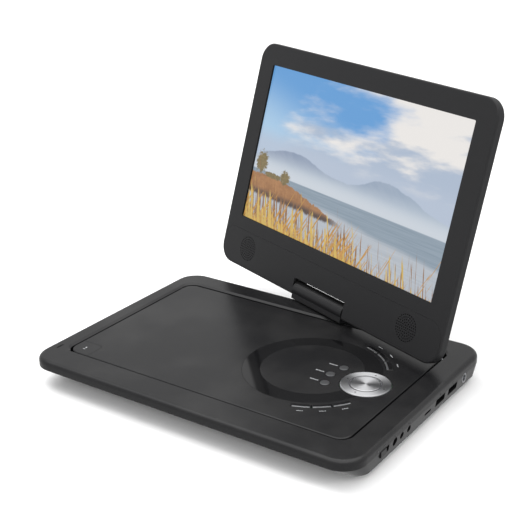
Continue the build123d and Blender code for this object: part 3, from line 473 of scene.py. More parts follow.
class Dust(Effect):
    """Light dust and finger haze, mostly on faces that look up."""

    name = "dust_and_haze"
    inputs = {"Amount": (VALUE, 0.1)}
    outputs = {"Mask": VALUE, "Haze": VALUE}

    def draw(self, graph: Graph, given: dict[str, Wire]) -> dict[str, Wire]:
        """Draw the dust.

        Args:
            graph: The group's graph.
            given: Amount.

        Returns:
            Mask for the dust's colour, and Haze for its roughness.
        """
        at = graph.place()
        normal = graph.node("ShaderNodeNewGeometry").outputs["Normal"]
        up = graph.split(Wire(graph, normal))[2]
        speck = graph.step(graph.noise(at, 1500.0, 2.0), 0.66, 0.76)
        cloud = graph.step(graph.noise(at, 22.0, 4.0), 0.4, 0.7)
        facing = graph.step(up, 0.2, 0.9)
        mask = (speck * 0.5 + cloud * 0.2) * facing * given["Amount"]
        return {"Mask": mask, "Haze": cloud * given["Amount"]}


class Scratches(Effect):
    """Fine straight rub marks along one direction."""

    name = "fine_scratches"
    inputs = {"Stretch": ("NodeSocketVector", (30.0, 2000.0, 2000.0)), "Strength": (VALUE, 0.1)}
    outputs = {"Height": VALUE, "Tone": VALUE}

    def draw(self, graph: Graph, given: dict[str, Wire]) -> dict[str, Wire]:
        """Draw the marks.

        Args:
            graph: The group's graph.
            given: Stretch and Strength.

        Returns:
            Height for a bump, and Tone for the colour.
        """
        at = graph.vector("MULTIPLY", graph.place(), given["Stretch"])
        lines = graph.noise(at, 1.0, 3.0, 0.6)
        return {"Height": lines * given["Strength"], "Tone": lines}


# ---- finishes ------------------------------------------------------------------------


@dataclass(frozen=True)
class Finish:
    """A solid finish: plastic, rubber, metal or paint.

    Args:
        name: The material's name.
        colour: Its base colour.
        rough: Its roughness.
        metal: 1 for bare metal.
        level: How strongly a non-metal reflects.
        grain: How strong the moulded grain is.
        scale: How fine the grain is.
        wear: How rubbed its edges are.
        worn: The colour of a rubbed edge.
        dust: How dusty it is.
        coat: The weight of a clear coat.
        brushed: The strength of brush lines.
        lines: The stretch of the brush lines.
        spin: The centre that turning marks go round, or None.
    """

    name: str
    colour: Colour
    rough: float = 0.4
    metal: float = 0.0
    level: float = 0.5
    grain: float = 0.1
    scale: float = 2200.0
    wear: float = 0.2
    worn: Colour = (0.12, 0.12, 0.125)
    dust: float = 0.1
    coat: float = 0.0
    brushed: float = 0.0
    lines: Colour = (30.0, 2000.0, 2000.0)
    spin: tuple[float, float, float] | None = None

    def material(self) -> bpy.types.Material:
        """Return the material, building it once.

        Returns:
            The material.
        """
        found = bpy.data.materials.get(self.name)
        if found:
            return found
        made = bpy.data.materials.new(self.name)
        made.use_nodes = True
        made.node_tree.nodes.clear()
        graph = Graph(made.node_tree)
        shader = graph.node("ShaderNodeBsdfPrincipled")
        output = graph.node("ShaderNodeOutputMaterial")
        made.node_tree.links.new(output.inputs["Surface"], shader.outputs[0])
        self.draw(graph, shader)
        return made

    def draw(self, graph: Graph, shader: bpy.types.Node) -> None:
        """Wire the shader's inputs.

        Args:
            graph: The material's graph.
            shader: The surface shader.
        """
        grain = Grain().use(graph, Scale=self.scale, Strength=self.grain)
        wear = EdgeWear().use(graph, Amount=self.wear)["Mask"]
        dust = Dust().use(graph, Amount=self.dust)
        deep = tuple(c * 0.94 for c in self.colour)
        tone = graph.mix(grain["Mottle"], deep, self.colour)
        normal = grain["Normal"]
        rough = self.rough + (grain["Mottle"] - 0.5) * (0.08 * self.rough)
        if self.brushed:
            marks = Scratches().use(graph, Stretch=self.lines, Strength=self.brushed)
            normal = graph.bump(marks["Height"], 0.6, 0.0001, normal)
            rough = rough + (marks["Tone"] - 0.5) * (0.4 * self.rough)
        if self.spin:
            away = graph.vector("SUBTRACT", graph.place(), self.spin)
            graph.plug(shader.inputs["Tangent"], graph.vector("NORMALIZE", away))
            shader.inputs["Anisotropic"].default_value = 0.9
            rings = graph.noise(graph.vector("LENGTH", away, out=1), 9000.0, 2.0)
            normal = graph.bump(rings, 0.12, 0.0001, normal)
        tone = graph.mix(wear, tone, self.worn)
        tone = graph.mix(dust["Mask"], tone, (0.42, 0.41, 0.39))
        graph.plug(shader.inputs["Base Color"], tone)
        graph.plug(shader.inputs["Roughness"], rough + wear * 0.1 + dust["Haze"] * 0.05)
        graph.plug(shader.inputs["Normal"], normal)
        shader.inputs["Metallic"].default_value = self.metal
        shader.inputs["Specular IOR Level"].default_value = self.level
        shader.inputs["Coat Weight"].default_value = self.coat
        shader.inputs["Coat Roughness"].default_value = 0.04


@dataclass(frozen=True)
class GlassFinish(Finish):
    """A clear or tinted small lens."""

    def draw(self, graph: Graph, shader: bpy.types.Node) -> None:
        """Wire the shader's inputs.

        Args:
            graph: The material's graph.
            shader: The surface shader.
        """
        grain = Grain().use(graph, Scale=900.0, Strength=0.03)
        tone = graph.mix(grain["Mottle"], self.colour, tuple(c * 0.8 for c in self.colour))
        graph.plug(shader.inputs["Base Color"], tone)
        graph.plug(shader.inputs["Normal"], grain["Normal"])
        shader.inputs["Roughness"].default_value = self.rough
        shader.inputs["Coat Weight"].default_value = 1.0


@dataclass(frozen=True)
class Picture(Finish):
    """The lit panel: mountains over a lake with reeds, drawn from noise.

    Args:
        origin: The picture's lower left corner, in metres.
        across: The direction from left to right.
        upward: The direction from bottom to top.
        size: Its width and height, in metres.
        glow: How brightly it is lit.
    """

    origin: tuple[float, float, float] = (0.0, 0.0, 0.0)
    across: tuple[float, float, float] = (1.0, 0.0, 0.0)
    upward: tuple[float, float, float] = (0.0, 0.0, 1.0)
    size: Point = (0.22, 0.12)
    glow: float = 0.85

    def draw(self, graph: Graph, shader: bpy.types.Node) -> None:
        """Wire the shader's inputs.

        Args:
            graph: The material's graph.
            shader: The surface shader.
        """
        away = graph.vector("SUBTRACT", graph.place(), self.origin)
        s = graph.vector("DOT_PRODUCT", away, self.across, out=1) / self.size[0]
        t = graph.vector("DOT_PRODUCT", away, self.upward, out=1) / self.size[1]
        scene = self.sky(graph, s, t)
        scene = self.mountains(graph, s, t, scene)
        scene = self.lake(graph, s, t, scene)
        scene = self.reeds(graph, s, t, scene)
        grain = Grain().use(graph, Scale=6000.0, Strength=0.02)
        shader.inputs["Base Color"].default_value = (0.01, 0.01, 0.012, 1.0)
        shader.inputs["Roughness"].default_value = 0.22
        graph.plug(shader.inputs["Normal"], grain["Normal"])
        graph.plug(shader.inputs["Emission Color"], scene)
        mirrored = Wire(graph, graph.node("ShaderNodeLightPath").outputs["Is Glossy Ray"])
        graph.plug(shader.inputs["Emission Strength"], self.glow * (1.0 - mirrored))

    def sky(self, graph: Graph, s: Wire, t: Wire) -> Wire:
        """Draw blue sky with slanting white cloud.

        Args:
            graph: The material's graph.
            s: Across the picture, 0 to 1.
            t: Up the picture, 0 to 1.

        Returns:
            The colour.
        """
        blue = graph.mix(graph.step(t + s * 0.4, 0.6, 1.0), (0.44, 0.66, 0.88), (0.13, 0.37, 0.74))
        slant = graph.join(s * 1.6 + t * 0.9, t * 3.4 - s * 0.9)
        puffs = graph.noise(slant, 1.5, 6.0, 0.5)
        spread = graph.step(s * 0.75 + (0.95 - t) * 0.55 + puffs * 1.1, 0.82, 1.12)
        lit = graph.noise(slant, 2.6, 4.0, 0.5) + (t - 0.72) * 0.8
        bank = graph.mix(graph.step(lit, 0.36, 0.6), (0.46, 0.55, 0.69), (0.93, 0.9, 0.87))
        scene = graph.mix(spread, blue, bank)
        return graph.mix(graph.step(t, 0.64, 0.5) * 0.85, scene, (0.52, 0.6, 0.73))

    def mountains(self, graph: Graph, s: Wire, t: Wire, behind: Wire) -> Wire:
        """Draw a hazy range with two heads.

        Args:
            graph: The material's graph.
            s: Across the picture, 0 to 1.
            t: Up the picture, 0 to 1.
            behind: The colour behind them.

        Returns:
            The colour.
        """
        top = graph.curve(s, RIDGE)
        top = top + (graph.noise(graph.join(s, 0.37), 16.0, 5.0, 0.6) - 0.5) * 0.025
        folds = graph.noise(graph.join(s * 5.0 + t * 3.0, t * 2.0), 4.0, 5.0, 0.6)
        depth = graph.step(t, 0.38, 0.5)
        deep = graph.mix(s, (0.2, 0.26, 0.4), (0.34, 0.44, 0.56))
        rock = graph.mix(depth, (0.55, 0.63, 0.72), deep)
        rock = graph.mix(folds * 0.4, rock, (0.6, 0.66, 0.75))
        scene = graph.mix(graph.step(top - t, -0.004, 0.006), behind, rock)
        return graph.mix(graph.step(t, 0.44, 0.35) * 0.75, scene, (0.7, 0.75, 0.81))

    def lake(self, graph: Graph, s: Wire, t: Wire, behind: Wire) -> Wire:
        """Draw the water with streaks of light.

        Args:
            graph: The material's graph.
            s: Across the picture, 0 to 1.
            t: Up the picture, 0 to 1.
            behind: The colour behind it.

        Returns:
            The colour.
        """
        ripple = graph.noise(graph.join(s * 3.0, t * 70.0), 1.5, 3.0)
        far = graph.mix(ripple, (0.2, 0.27, 0.34), (0.38, 0.46, 0.54))
        near = graph.mix(ripple, (0.42, 0.47, 0.53), (0.6, 0.64, 0.69))
        bank = t + s * 0.12 + (graph.noise(graph.join(s, 0.8), 5.0, 3.0) - 0.5) * 0.04
        water = graph.mix(graph.step(bank, 0.31, 0.27), far, near)
        return graph.mix(graph.step(0.335 - t, -0.002, 0.006), behind, water)

    def reeds(self, graph: Graph, s: Wire, t: Wire, behind: Wire) -> Wire:
        """Draw the reed bank with two trees, and the nearer blades.

        Args:
            graph: The material's graph.
            s: Across the picture, 0 to 1.
            t: Up the picture, 0 to 1.
            behind: The colour behind them.

        Returns:
            The colour.
        """
        ragged = (graph.noise(graph.join(s * 60.0, t * 6.0), 1.0, 4.0, 0.7) - 0.5) * 0.05
        clump = graph.noise(graph.join(s * 22.0, t * 16.0), 1.0, 5.0, 0.7)
        bank = graph.mix(clump, (0.16, 0.06, 0.02), (0.66, 0.34, 0.14))
        bank = graph.mix(graph.step(t, 0.23, 0.19), bank, (0.09, 0.06, 0.05))
        held = graph.curve(s, BANK) + ragged
        shape = graph.step(held - t, -0.003, 0.006) * graph.step(t + ragged, 0.165, 0.185)
        scene = graph.mix(shape * graph.step(s, 0.56, 0.44), behind, bank)
        leaf = graph.noise(graph.join(s * 70.0, t * 46.0), 1.0, 4.0, 0.7)
        for centre, height, width, tall in TREES:
            across = (s - centre) / width
            up = (t - height) / tall
            reach = graph.math("SQRT", across * across + up * up)
            crown = graph.step(reach + (leaf - 0.5) * 1.6, 1.05, 0.7)
            tone = graph.mix(leaf, (0.07, 0.06, 0.03), (0.4, 0.3, 0.12))
            scene = graph.mix(crown, scene, tone)
        for stretch, lean, reach, tone in BLADES:
            at = graph.join(s * stretch + t * lean, t * 3.2 + stretch)
            blade = graph.noise(at, 1.0, 2.0, 0.5)
            tall = graph.curve(s, FRONT) * reach + (clump - 0.5) * 0.16
            mask = graph.step(blade + (tall - t) * 0.9, 0.56, 0.64)
            scene = graph.mix(mask, scene, graph.mix(clump, tuple(c * 0.45 for c in tone), tone))
        return scene


RIDGE = (
    (0.0, 0.42),
    (0.08, 0.47),
    (0.24, 0.51),
    (0.4, 0.455),
    (0.54, 0.45),
    (0.67, 0.525),
    (0.8, 0.5),
    (0.9, 0.445),
    (1.0, 0.42),
)
BANK = ((0.0, 0.31), (0.22, 0.3), (0.34, 0.26), (0.5, 0.2), (1.0, 0.1))
FRONT = ((0.0, 0.24), (0.3, 0.2), (0.45, 0.14), (0.56, 0.2), (0.66, 0.1), (1.0, 0.07))
TREES = ((0.045, 0.385, 0.035, 0.075), (0.19, 0.335, 0.032, 0.045), (0.12, 0.32, 0.06, 0.02))
BLADES = (
    (150.0, 22.0, 1.0, (0.42, 0.2, 0.07)),
    (110.0, -30.0, 0.85, (0.8, 0.42, 0.1)),
    (70.0, 14.0, 0.7, (0.96, 0.66, 0.16)),
)

CASE = Finish(
    "case_satin_black",
    (0.0065, 0.0065, 0.0072),
    0.25,
    level=0.45,
    grain=0.08,
    worn=(0.05, 0.05, 0.05),
)
BEZEL = Finish(
    "bezel_satin_black",
    (0.0125, 0.0125, 0.0135),
    0.4,
    level=0.34,
    grain=0.12,
    worn=(0.06, 0.06, 0.06),
)
HINGE = Finish("hinge_satin_black", (0.01, 0.01, 0.011), 0.34, level=0.36, grain=0.12)
GLOSS = Finish(
    "polished_black", (0.004, 0.004, 0.0045), 0.07, level=0.5, grain=0.01, dust=0.03, wear=0.1
)
DECK = Finish("deck_grey", (0.05, 0.05, 0.055), 0.5, grain=0.2)
SOCKET = Finish("socket_black", (0.012, 0.012, 0.013), 0.5, grain=0.2)
RUBBER = Finish("foot_rubber", (0.02, 0.02, 0.021), 0.85, level=0.2, grain=0.5, dust=0.5)
STEEL = Finish(
    "zinc_steel", (0.56, 0.57, 0.6), 0.3, 1.0, brushed=0.4, wear=0.4, worn=(0.8, 0.8, 0.82)
)
BRASS = Finish("turned_brass", (0.72, 0.52, 0.24), 0.28, 1.0, brushed=0.3)
GOLD = Finish("contact_gold", (0.9, 0.68, 0.3), 0.22, 1.0, brushed=0.1)
# Bright metal used only for the painted highlight bands on the arc keys.
HIGHLIGHT_METAL = Finish("bright_trim", (0.85, 0.86, 0.88), 0.3, 1.0, brushed=0.1, dust=0.02)
BOARD = Finish("board_lacquer", (0.02, 0.12, 0.05), 0.35, coat=0.5, grain=0.1)
CHIP = Finish("chip_resin", (0.02, 0.02, 0.021), 0.6, grain=0.4)
WRAP = Finish("cell_sleeve", (0.04, 0.07, 0.22), 0.3, coat=0.3)
ACETAL = Finish("gear_acetal", (0.82, 0.81, 0.76), 0.4, grain=0.1, worn=(0.7, 0.7, 0.66))
DIFFUSER = Finish("diffuser_white", (0.85, 0.85, 0.83), 0.5)
PRINT = Finish("printed_grey", (0.42, 0.43, 0.44), 0.6, grain=0.05, wear=0.0, dust=0.05)
MOULDED = Finish("raised_mark_black", (0.03, 0.03, 0.032), 0.3, grain=0.05)
# Dark ink for engraved and printed marks, also used as painted shade in the pad's groove and in
# the screw heads' cross recesses.
INK_AND_SHADE = Finish("engraved_dark_and_painted_shade", (0.05, 0.05, 0.055), 0.7, grain=0.1, wear=0.0, dust=0.0)
LABEL = Finish("label_paper", (0.5, 0.5, 0.49), 0.5, grain=0.1, wear=0.3, worn=(0.7, 0.7, 0.7))
LENS = GlassFinish("lens_coated", (0.12, 0.2, 0.34), 0.05)
LAMP = GlassFinish("lamp_dome", (0.012, 0.013, 0.014), 0.1)


# ---- small meshes --------------------------------------------------------------------


@dataclass(frozen=True)
class Face:
    """A flat place that marks and plates are laid on.

    Args:
        origin: Its zero point, in millimetres.
        across: Its first direction.
        upward: Its second direction.
    """

    origin: Vector
    across: Vector
    upward: Vector

    def at(self, x: float, y: float, out: float = 0.0) -> Vector:
        """Return a point over the face.

        Args:
            x: Along the first direction, in millimetres.
            y: Along the second direction, in millimetres.
            out: Above the face, in millimetres.

        Returns:
            The point in metres.
        """
        normal = self.across.cross(self.upward)
        return (self.origin + self.across * x + self.upward * y + normal * out) * MM


@dataclass
class Plates:
    """Thin plates with chamfered edges, gathered into one mesh.

    Args:
        name: The piece's name.
        face: What they lie on.
        body: The body they move with.
        finish: Their finish.
        slot: The name of a material slot; not used.
        rise: How far they stand above the face, in millimetres.
        sink: How far they reach into it.
        points: The mesh's points so far, in metres.
        faces: The mesh's faces so far.
    """

    name: str
    face: Face
    body: str
    finish: Finish
    slot: str
    rise: float = 0.08
    sink: float = 0.1
    points: list[Vector] = field(default_factory=list)
    faces: list[list[int]] = field(default_factory=list)

    def add(self, outline: Sequence[Point], edge: float = 0.05) -> None:
        """Add one plate.

        Args:
            outline: Its corners in order, in millimetres.
            edge: How wide its chamfer is.
        """
        count = len(outline)
        first = len(self.points)
        middle_x = sum(p[0] for p in outline) / count
        middle_y = sum(p[1] for p in outline) / count
        for out, pull in ((-self.sink, 0.0), (self.rise - edge / 2, 0.0), (self.rise, edge)):
            for x, y in outline:
                reach = math.hypot(x - middle_x, y - middle_y) or 1.0
                keep = max(0.0, 1.0 - pull / reach)
                at = (middle_x + (x - middle_x) * keep, middle_y + (y - middle_y) * keep)
                self.points.append(self.face.at(at[0], at[1], out))
        for ring in (0, count):
            for n in range(count):
                after = (n + 1) % count
                low, high = first + ring, first + ring + count
                self.faces.append([low + n, low + after, high + after, high + n])
        self.faces.append([first + 2 * count + n for n in range(count)])
        self.faces.append([first + n for n in reversed(range(count))])

    def band(self, centre: Point, inner: float, outer: float, start: float, end: float) -> None:
        """Add a band round a centre as one strip of short plates.

        Args:
            centre: What it goes round.
            inner: Its inner radius.
            outer: Its outer radius.
            start: Where it starts, in degrees.
            end: Where it ends, in degrees.
        """
        steps = max(3, int(abs(end - start) / 1.5))
        angles = [math.radians(start + (end - start) * n / steps) for n in range(steps + 1)]
        first = len(self.points)
        for a in angles:
            for radius, out in (
                (inner, -self.sink),
                (inner, self.rise),
                (outer, self.rise),
                (outer, -self.sink),
            ):
                x = centre[0] + radius * math.cos(a)
                y = centre[1] + radius * math.sin(a)
                self.points.append(self.face.at(x, y, out))
        for n in range(steps):
            low, high = first + 4 * n, first + 4 * n + 4
            for k in range(4):
                after = (k + 1) % 4
                self.faces.append([low + k, high + k, high + after, low + after])
        self.faces.append([first + k for k in range(4)])
        self.faces.append([first + 4 * steps + k for k in reversed(range(4))])

    def disc(self, x: float, y: float, radius: float, sides: int = 24) -> None:
        """Add a round plate.

        Args:
            x: Its centre across.
            y: Its centre upward.
            radius: Its radius.
            sides: How many sides it has.
        """
        turns = [2 * math.pi * n / sides for n in range(sides)]
        self.add([(x + radius * math.cos(a), y + radius * math.sin(a)) for a in turns])

    def finished(self) -> bpy.types.Object:
        """Make the object and let it ride on its body.

        Returns:
            The object.
        """
        mesh = bpy.data.meshes.new(self.name)
        mesh.from_pydata([tuple(p) for p in self.points], [], self.faces)
        mesh.validate()
        mesh.update()
        made = bpy.data.objects.new(self.name, mesh)
        bpy.context.scene.collection.objects.link(made)
        mesh.materials.append(self.finish.material())
        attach(made, self.body)
        log.info("piece %s on %s, %d faces", self.name, self.body, len(self.faces))
        return made


class Glyph(Enum):
    """Plain marks, each a list of outlines about its own centre, in millimetres."""

    RIGHT = [[(-0.9, -1.0), (1.0, 0.0), (-0.9, 1.0)]]
    LEFT = [[(0.9, -1.0), (0.9, 1.0), (-1.0, 0.0)]]
    UP = [[(-1.0, -0.8), (1.0, -0.8), (0.0, 0.9)]]
    DOWN = [[(-1.0, 0.8), (0.0, -0.9), (1.0, 0.8)]]
    STOP = [[(-0.8, -0.8), (0.8, -0.8), (0.8, 0.8), (-0.8, 0.8)]]
    BARS = [
        [(-1.1, -0.9), (1.1, -0.9), (1.1, -0.5), (-1.1, -0.5)],
        [(-1.1, -0.2), (1.1, -0.2), (1.1, 0.2), (-1.1, 0.2)],
        [(-1.1, 0.5), (1.1, 0.5), (1.1, 0.9), (-1.1, 0.9)],
    ]
    DASH = [[(-1.6, -0.3), (1.6, -0.3), (1.6, 0.3), (-1.6, 0.3)]]
    STRIP = [
        [(x, -0.35), (x + 0.5, -0.35), (x + 0.5, high), (x, high)]
        for x, high in (
            (-2.4, 0.45),
            (-1.6, 0.25),
            (-0.8, 0.45),
            (0.0, 0.25),
            (0.8, 0.25),
            (1.6, 0.45),
        )
    ]
    FRAME = [
        [(-1.2, -0.9), (1.2, -0.9), (1.2, -0.6), (-1.2, -0.6)],
        [(-1.2, 0.6), (1.2, 0.6), (1.2, 0.9), (-1.2, 0.9)],
        [(-1.2, -0.6), (-0.9, -0.6), (-0.9, 0.6), (-1.2, 0.6)],
        [(0.9, -0.6), (1.2, -0.6), (1.2, 0.6), (0.9, 0.6)],
    ]
    PLUS = [
        [(-0.9, -0.25), (0.9, -0.25), (0.9, 0.25), (-0.9, 0.25)],
        [(-0.25, 0.25), (0.25, 0.25), (0.25, 0.9), (-0.25, 0.9)],
        [(-0.25, -0.9), (0.25, -0.9), (0.25, -0.25), (-0.25, -0.25)],
    ]

    def onto(
        self, plates: Plates, x: float, y: float, size: float = 1.0, turn: float = 0.0
    ) -> None:
        """Lay the mark on a face.

        Args:
            plates: What it is added to.
            x: Where it goes across.
            y: Where it goes upward.
            size: Its scale.
            turn: How far it is turned, in degrees.
        """
        c, s = math.cos(math.radians(turn)) * size, math.sin(math.radians(turn)) * size
        for outline in self.value:
            plates.add([(x + px * c - py * s, y + px * s + py * c) for px, py in outline], 0.03)


def centre_of(node: str) -> Vector:
    """Return the middle of a CAD node's box, in millimetres.

    Args:
        node: The node's name.

    Returns:
        The point.
    """
    low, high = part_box(node)
    return (low + high) / 2 / MM


def top_of(node: str) -> float:
    """Return the height of a CAD node's highest point, in millimetres.

    Args:
        node: The node's name.

    Returns:
        The height.
    """
    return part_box(node)[1].z / MM


def flat_face(height: float) -> Face:
    """Return the level face at a height.

    Args:
        height: The height in millimetres.

    Returns:
        The face.
    """
    return Face(Vector((0, 0, height)), Vector((1, 0, 0)), Vector((0, 1, 0)))


# ---- sub-assemblies ------------------------------------------------------------------


@dataclass
class LidTrim:
    """Printed marks, engraved marks, bright metal bands painted as highlights on the arc keys, and
    a dark ring of painted shade on the pad, all on the disc lid.

    Args:
        label_radius: Where the marks beside the arc keys stand, from the disc's centre.
        arc_middle: The angle of each arc key's middle, in degrees.
        arc_half: Half the angle of an arc key.
        arc_inner: The inner radius of the arc keys.
        arc_outer: Their outer radius.
        line: The width of a bright band of painted highlight.
        margin: From a painted highlight band to the key's edge.
        key_gap: From a round key's centre to its mark.
        groove_shade: The inner and outer radius of the dark ring of painted shade in the groove
            round the pad's centre.
    """

    label_radius: float = 58.4
    arc_middle: tuple[float, ...] = (37.2, 51.6, 66.0)
    arc_half: float = 6.6
    arc_inner: float = 50.0
    arc_outer: float = 54.6
    line: float = 1.1
    margin: float = 0.4
    key_gap: float = 8.4
    groove_shade: Point = (10.5, 11.3)

    def build(self) -> None:
        """Build every piece on the lid."""
        lid_top = centre_of("trim_ring").z + 0.4
        disc = centre_of("turntable")
        marks = Plates("lid_marks", flat_face(lid_top), "lid", PRINT, "case_plastic", 0.05)
        angles = list(self.arc_middle) + [-a for a in self.arc_middle]
        for angle in angles:
            x = disc.x + self.label_radius * math.cos(math.radians(angle))
            y = disc.y + self.label_radius * math.sin(math.radians(angle))
            turn = angle - 90.0 if angle > 0 else angle + 90.0
            Glyph.STRIP.onto(marks, x, y, 0.9, turn)
        for number in (1, 2, 3):
            key = centre_of(f"round_key_{number}")
            Glyph.STRIP.onto(marks, key.x - self.key_gap, key.y + 0.4, 1.35)
        marks.finished()
        self.highlight_bands(disc)
        self.pad_marks()
        self.tile_mark()

    def highlight_bands(self, disc: Vector) -> None:
        """Build the bright metal bands that paint highlights on the arc keys' edges that face the
        camera.

        Args:
            disc: The disc's centre, in millimetres.
        """
        for number in range(1, 7):
            name = f"arc_key_{number}"
            middle = self.arc_middle[(number - 1) % 3]
            sign = 1.0 if number <= 3 else -1.0
            lines = Plates(
                f"{name}_line", flat_face(top_of(name)), name, HIGHLIGHT_METAL, "gloss_black", 0.06
            )
            start = sign * (middle - self.arc_half) + sign * 0.5
            end = sign * (middle + self.arc_half) - sign * 0.5
            # Painted highlight: the band goes on the key's edge that faces the camera, the inner
            # edge on one side and the outer edge on the other.
            if sign > 0:
                inner = self.arc_inner + self.margin
            else:
                inner = self.arc_outer - self.margin - self.line
            lines.band((disc.x, disc.y), inner, inner + self.line, start, end)
            lines.finished()

    def pad_marks(self) -> None:
        """Build the arrows on the pad and a dark ring of painted shade round its centre."""
        pad = centre_of("pad_ring")
        arrows_and_shade = Plates(
            "pad_arrows_and_groove_shade", flat_face(top_of("pad_ring")), "pad_ring", INK_AND_SHADE, "key_silver", 0.03
        )
        for shape, x, y in (
            (Glyph.RIGHT, 13.9, 0.0),
            (Glyph.LEFT, -13.9, 0.0),
            (Glyph.UP, 0.0, 13.9),
            (Glyph.DOWN, 0.0, -13.9),
        ):
            shape.onto(arrows_and_shade, pad.x + x, pad.y + y, 0.8)
        # Painted shade: a dark ring in the gap between the pad's ring and its centre.
        arrows_and_shade.band((pad.x, pad.y), *self.groove_shade, 0.0, 359.5)
        arrows_and_shade.finished()

    def tile_mark(self) -> None:
        """Build the printed mark on the release button."""
        name = "release_button"
        tile = centre_of(name)
        face = flat_face(top_of(name))
        mark = Plates(f"{name}_mark", face, "release", PRINT, "case_plastic", 0.04)
        Glyph.UP.onto(mark, tile.x, tile.y + 1.2, 0.9)
        Glyph.DASH.onto(mark, tile.x, tile.y - 1.4, 0.7)
        mark.finished()


@dataclass
class SideMarks:
    """Marks on the right wall, and the contacts inside its sockets.

    Args:
        mark_z: How high the marks stand.
        mark_size: Their scale.
        power_y: Where the lamp marks stand.
    """

    mark_z: float = 14.3
    mark_size: float = 0.75
    power_y: float = -62.5

    def build(self) -> None:
        """Build the wall marks and the contacts."""
        low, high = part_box("top_case")
        wall = Face(Vector((high.x / MM, 0, 0)), Vector((0, 1, 0)), Vector((0, 0, 1)))
        marks = Plates("wall_marks", wall, "base", MOULDED, "case_plastic", 0.12)
        placed = (
            (Glyph.RIGHT, centre_of("dc_jack").y),
            (Glyph.PLUS, centre_of("headphone_jack").y),
            (Glyph.FRAME, centre_of("av_jack").y),
            (Glyph.BARS, centre_of("usb_port_front").y),
            (Glyph.BARS, centre_of("usb_port_rear").y),
            (Glyph.UP, centre_of("antenna_jack").y),
            (Glyph.DASH, centre_of("power_switch").y),
            (Glyph.STOP, self.power_y),
        )
        for shape, y in placed:
            shape.onto(marks, y, self.mark_z, self.mark_size)
        marks.finished()
        self.contacts()

    def contacts(self) -> None:
        """Build the gold contacts under each USB tongue."""
        for name in ("usb_port_front", "usb_port_rear"):
            port = centre_of(name)
            face = Face(
                Vector((port.x - 4.4, port.y, port.z + 0.55)),
                Vector((1, 0, 0)),
                Vector((0, -1, 0)),
            )
            strips = Plates(f"{name}_contacts", face, "base", GOLD, "steel", 0.04, 0.02)
            for n in range(4):
                y = -3.45 + 2.3 * n
                strips.add([(1.0, y - 0.5), (8.6, y - 0.5), (8.6, y + 0.5), (1.0, y + 0.5)])
            strips.finished()


@dataclass
class ScreenTrim:
    """The picture on the panel and the details on the screen's two faces.

    Args:
        lean: How far back the screen leans at rest, in degrees.
        picture: The picture's left, bottom, width and height, in millimetres.
        glass_ahead: How far the picture lies ahead of the tilt axis.
        screw_depth: How far the screw heads lie behind the tilt axis.
        screws_across: The screws' places across the screen.
        screws_up: Their places up the screen.
    """

    lean: float = 15.3
    picture: tuple[float, float, float, float] = (-111.35, 36.3, 222.7, 125.3)
    glass_ahead: float = 4.0
    screw_depth: float = 9.2
    screws_across: tuple[float, ...] = (-112.0, 0.0, 112.0)
    screws_up: Point = (22.0, 166.4)

    def face(self, out: float) -> Face:
        """Return a face parallel to the screen.

        Args:
            out: Its distance ahead of the tilt axis, in millimetres.

        Returns:
            The face.
        """
        joint = [j for j in frame["joints"] if j["name"] == "screen_tilt"][0]
        across = -Vector(joint["axis"])
        level = Vector((across.y, -across.x, 0))
        lean = math.radians(self.lean)
        normal = level * math.cos(lean) + Vector((0, 0, math.sin(lean)))
        upward = normal.cross(across)
        origin = Vector(joint["pos_m"]) / MM + normal * out
        return Face(origin, across, upward)

    def build(self) -> None:
        """Light the panel and add the small details."""
        face = self.face(self.glass_ahead)
        left, bottom, width, height = self.picture
        finish = Picture(
            "lit_picture",
            (0.01, 0.01, 0.012),
            origin=tuple(face.at(left, bottom)),
            across=tuple(face.across),
            upward=tuple(face.upward),
            size=(width * MM, height * MM),
        )
        dress("lcd_panel", finish)
        self.screw_recess_shade()

    def screw_recess_shade(self) -> None:
        """Build dark crosses of painted shade on the screen's screw heads, where their cross
        recesses are.
        """
        middle = self.face(0.0)
        rear = Face(middle.origin, -middle.across, middle.upward)
        rise, sink = self.screw_depth + 0.03, 0.1 - self.screw_depth
        # Painted shade: flat dark crosses stand for the shade inside the cross recesses.
        recess_shade = Plates("screen_screw_recess_shade", rear, "screen", INK_AND_SHADE, "steel", rise, sink)
        for u in self.screws_across:
            for v in self.screws_up:
                Glyph.PLUS.onto(recess_shade, u, v, 1.3, 45.0)
        recess_shade.finished()


@dataclass
class Underside:
    """The rating label under the base.

    Args:
        label: Half its width and half its depth, in millimetres.
        bars: How many rows of plain bars it has.
        pitch: From one row to the next, and from the label's edge to the first row.
        bar_half: Half the height of a bar.
    """

    label: Point = (46.0, 22.0)
    bars: int = 6
    pitch: float = 6.0
    bar_half: float = 0.9

    def build(self) -> None:
        """Build the label with plain bars in place of lettering."""
        below = Face(Vector((0, 0, 0)), Vector((-1, 0, 0)), Vector((0, 1, 0)))
        sheet = Plates("rating_label", below, "base", LABEL, "case_plastic", 0.06)
        half_x, half_y = self.label
        sheet.add([(-half_x, -half_y), (half_x, -half_y), (half_x, half_y), (-half_x, half_y)])
        sheet.finished()
        bars = Plates("rating_label_bars", below, "base", INK_AND_SHADE, "case_plastic", 0.1)
        start = self.pitch - half_x
        for n in range(self.bars):
            middle = half_y - self.pitch * (n + 1)
            low, high = middle - self.bar_half, middle + self.bar_half
            end = half_x - 8.0 - 9.0 * (n % 3)
            bars.add([(start, low), (end, low), (end, high), (start, high)])
        bars.finished()


def dress(node: str, finish: Finish) -> None:
    """Give a CAD node a finish.

    Args:
        node: The node's name.
        finish: Its finish.
    """
    thing = frame["nodes"][node]
    material = finish.material()
    if not thing.material_slots:
        thing.data.materials.append(material)
    for place in thing.material_slots:
        place.material = material


